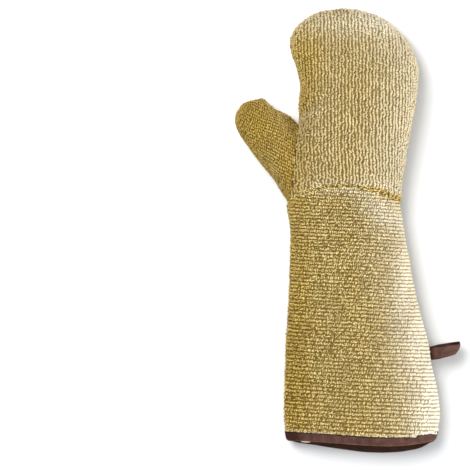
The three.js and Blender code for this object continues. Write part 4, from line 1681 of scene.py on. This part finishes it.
def tape_material(name):
    """Ribbon: a colour for each place across it, with a painted highlight at the fold and painted
    shade on the inner side and at the edge, cloudy, darker where shade is high, with fine woven
    ribs."""
    material, nodes, shader = new_material(name, roughness=0.75, sheen=0.02, specular=0.12)
    colour = nodes.ramp(nodes.number("run"), TAPE_STOPS)
    cloud = nodes.ramp(nodes.noise(scale=160.0, detail=5.0), TAPE_CLOUDS)
    colour = nodes.mix(1.0, colour, cloud, "MULTIPLY")
    colour = nodes.mix(nodes.number("shade"), colour, TAPE_SHADE, "MULTIPLY")
    nodes.put(colour, shader["Base Color"])
    inputs = {"Vector": nodes.place(), "Scale": 320.0, "Distortion": 0.6}
    weave = nodes.add("TexWave", inputs, bands_direction="X").outputs["Fac"]
    nodes.put(nodes.bump(weave, strength=0.5, distance=0.2 * MM), shader["Normal"])
    return material


materials["tape"] = tape_material("tape")
print("tape:", len(materials["tape"].node_tree.nodes), "nodes")

# %% Every piece gets its material
dressed = {
    "hand_knit": [hand],
    "gauntlet_knit": [gauntlet, thumb],
    "hand_yarn": hand_loops,
    "seam_yarn": [seam_loops],
    "seam_thread": seam_threads,
    "gauntlet_yarn": [*gauntlet_loops, pulled_loops, lip_thread, fringe],
    "thumb_yarn": thumb_loops,
    "tape": [binding, tape_loop],
}
for name, pieces in dressed.items():
    for piece in pieces:
        piece.data.materials.append(materials[name])
print("dressed:", {name: len(pieces) for name, pieces in dressed.items()})

# %% [markdown]
# Floor and light. The photograph has a white ground that is nearly blown out, a soft shadow
# to the lower right, and a glove whose right side is paler than its left. No one set of
# lights does all three, so the floor and the glove each have their own, by light linking.
# The picture keeps plain colours with the Standard view transform.

# %% Floor
FLOOR_HALF, FLOOR_WHITE = 3.0, (0.9, 0.9, 0.9, 1)


def make_floor():
    """A square of four corners at height 0, which belongs to the stage and not to the
    glove."""
    mesh = bpy.data.meshes.new("floor")
    signs = [(-1, -1), (1, -1), (1, 1), (-1, 1)]
    mesh.from_pydata([(FLOOR_HALF * a, FLOOR_HALF * b, 0) for a, b in signs], [], [(0, 1, 2, 3)])
    floor = bpy.data.objects.new("floor", mesh)
    bpy.context.scene.collection.objects.link(floor)
    material, nodes, shader = new_material("floor", roughness=0.9)
    nodes.put(FLOOR_WHITE, shader["Base Color"])
    mesh.materials.append(material)
    floor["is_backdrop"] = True
    return floor


floor = make_floor()
print("floor:", 2 * FLOOR_HALF, "m wide")

# %% Lights
LIGHTS = [
    # name, watts, diameter, place, aim, and whether it is for the floor or for the glove
    ("shadow", 38, 1.2, (-0.85, 0.8, 1.7), (0, 0, 0), "floor"),
    ("above", 22, 2.0, (0, 0, 2.4), (0, 0, 0), "floor"),
    ("right", 42, 0.9, (1.4, -0.9, 1.2), (0, -0.1, 0), "glove"),
    ("left", 8, 0.9, (-1.3, -0.5, 0.9), (0, 0, 0), "glove"),
    ("top", 20, 0.9, (-0.25, 0.9, 1.5), (0, -0.05, 0), "glove"),
]
SKY, SKY_STRENGTH = (0.93, 0.97, 1.0, 1), 0.4


def area_light(name, power, size, place, target):
    """A round light that faces its target: it is tipped from straight down by the angle
    whose cosine is the share of the drop in the distance, and turned to the side that it
    faces."""
    data = bpy.data.lights.new(name, "AREA")
    data.energy, data.shape, data.size = power, "DISK", size
    light = bpy.data.objects.new(name, data)
    bpy.context.scene.collection.objects.link(light)
    place, target = np.array(place, float), np.array(target, float)
    aim = target - place
    tip = math.acos(-aim[2] / np.linalg.norm(aim))
    light.location = place
    light.rotation_euler = (tip, 0, math.atan2(aim[1], aim[0]) - math.pi / 2)
    return light


receivers = {"floor": [floor], "glove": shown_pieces()}
for name, power, size, place, target, receiver in LIGHTS:
    light = area_light(name, power, size, place, target)
    group = bpy.data.collections.new(f"{receiver}_by_{name}")
    for thing in receivers[receiver]:
        group.objects.link(thing)
    light.light_linking.receiver_collection = group
world = bpy.data.worlds.new("world")
world.use_nodes = True
sky = world.node_tree.nodes["Background"].inputs
sky["Color"].default_value, sky["Strength"].default_value = SKY, SKY_STRENGTH
bpy.context.scene.world = world
bpy.context.scene.view_settings.view_transform = "Standard"
print("lights:", [row[0] for row in LIGHTS])

# %% [markdown]
# The whole should fill the box of the CAD solids. The tape's under lip passes it by two or three
# millimetres, and single loops by less than one.
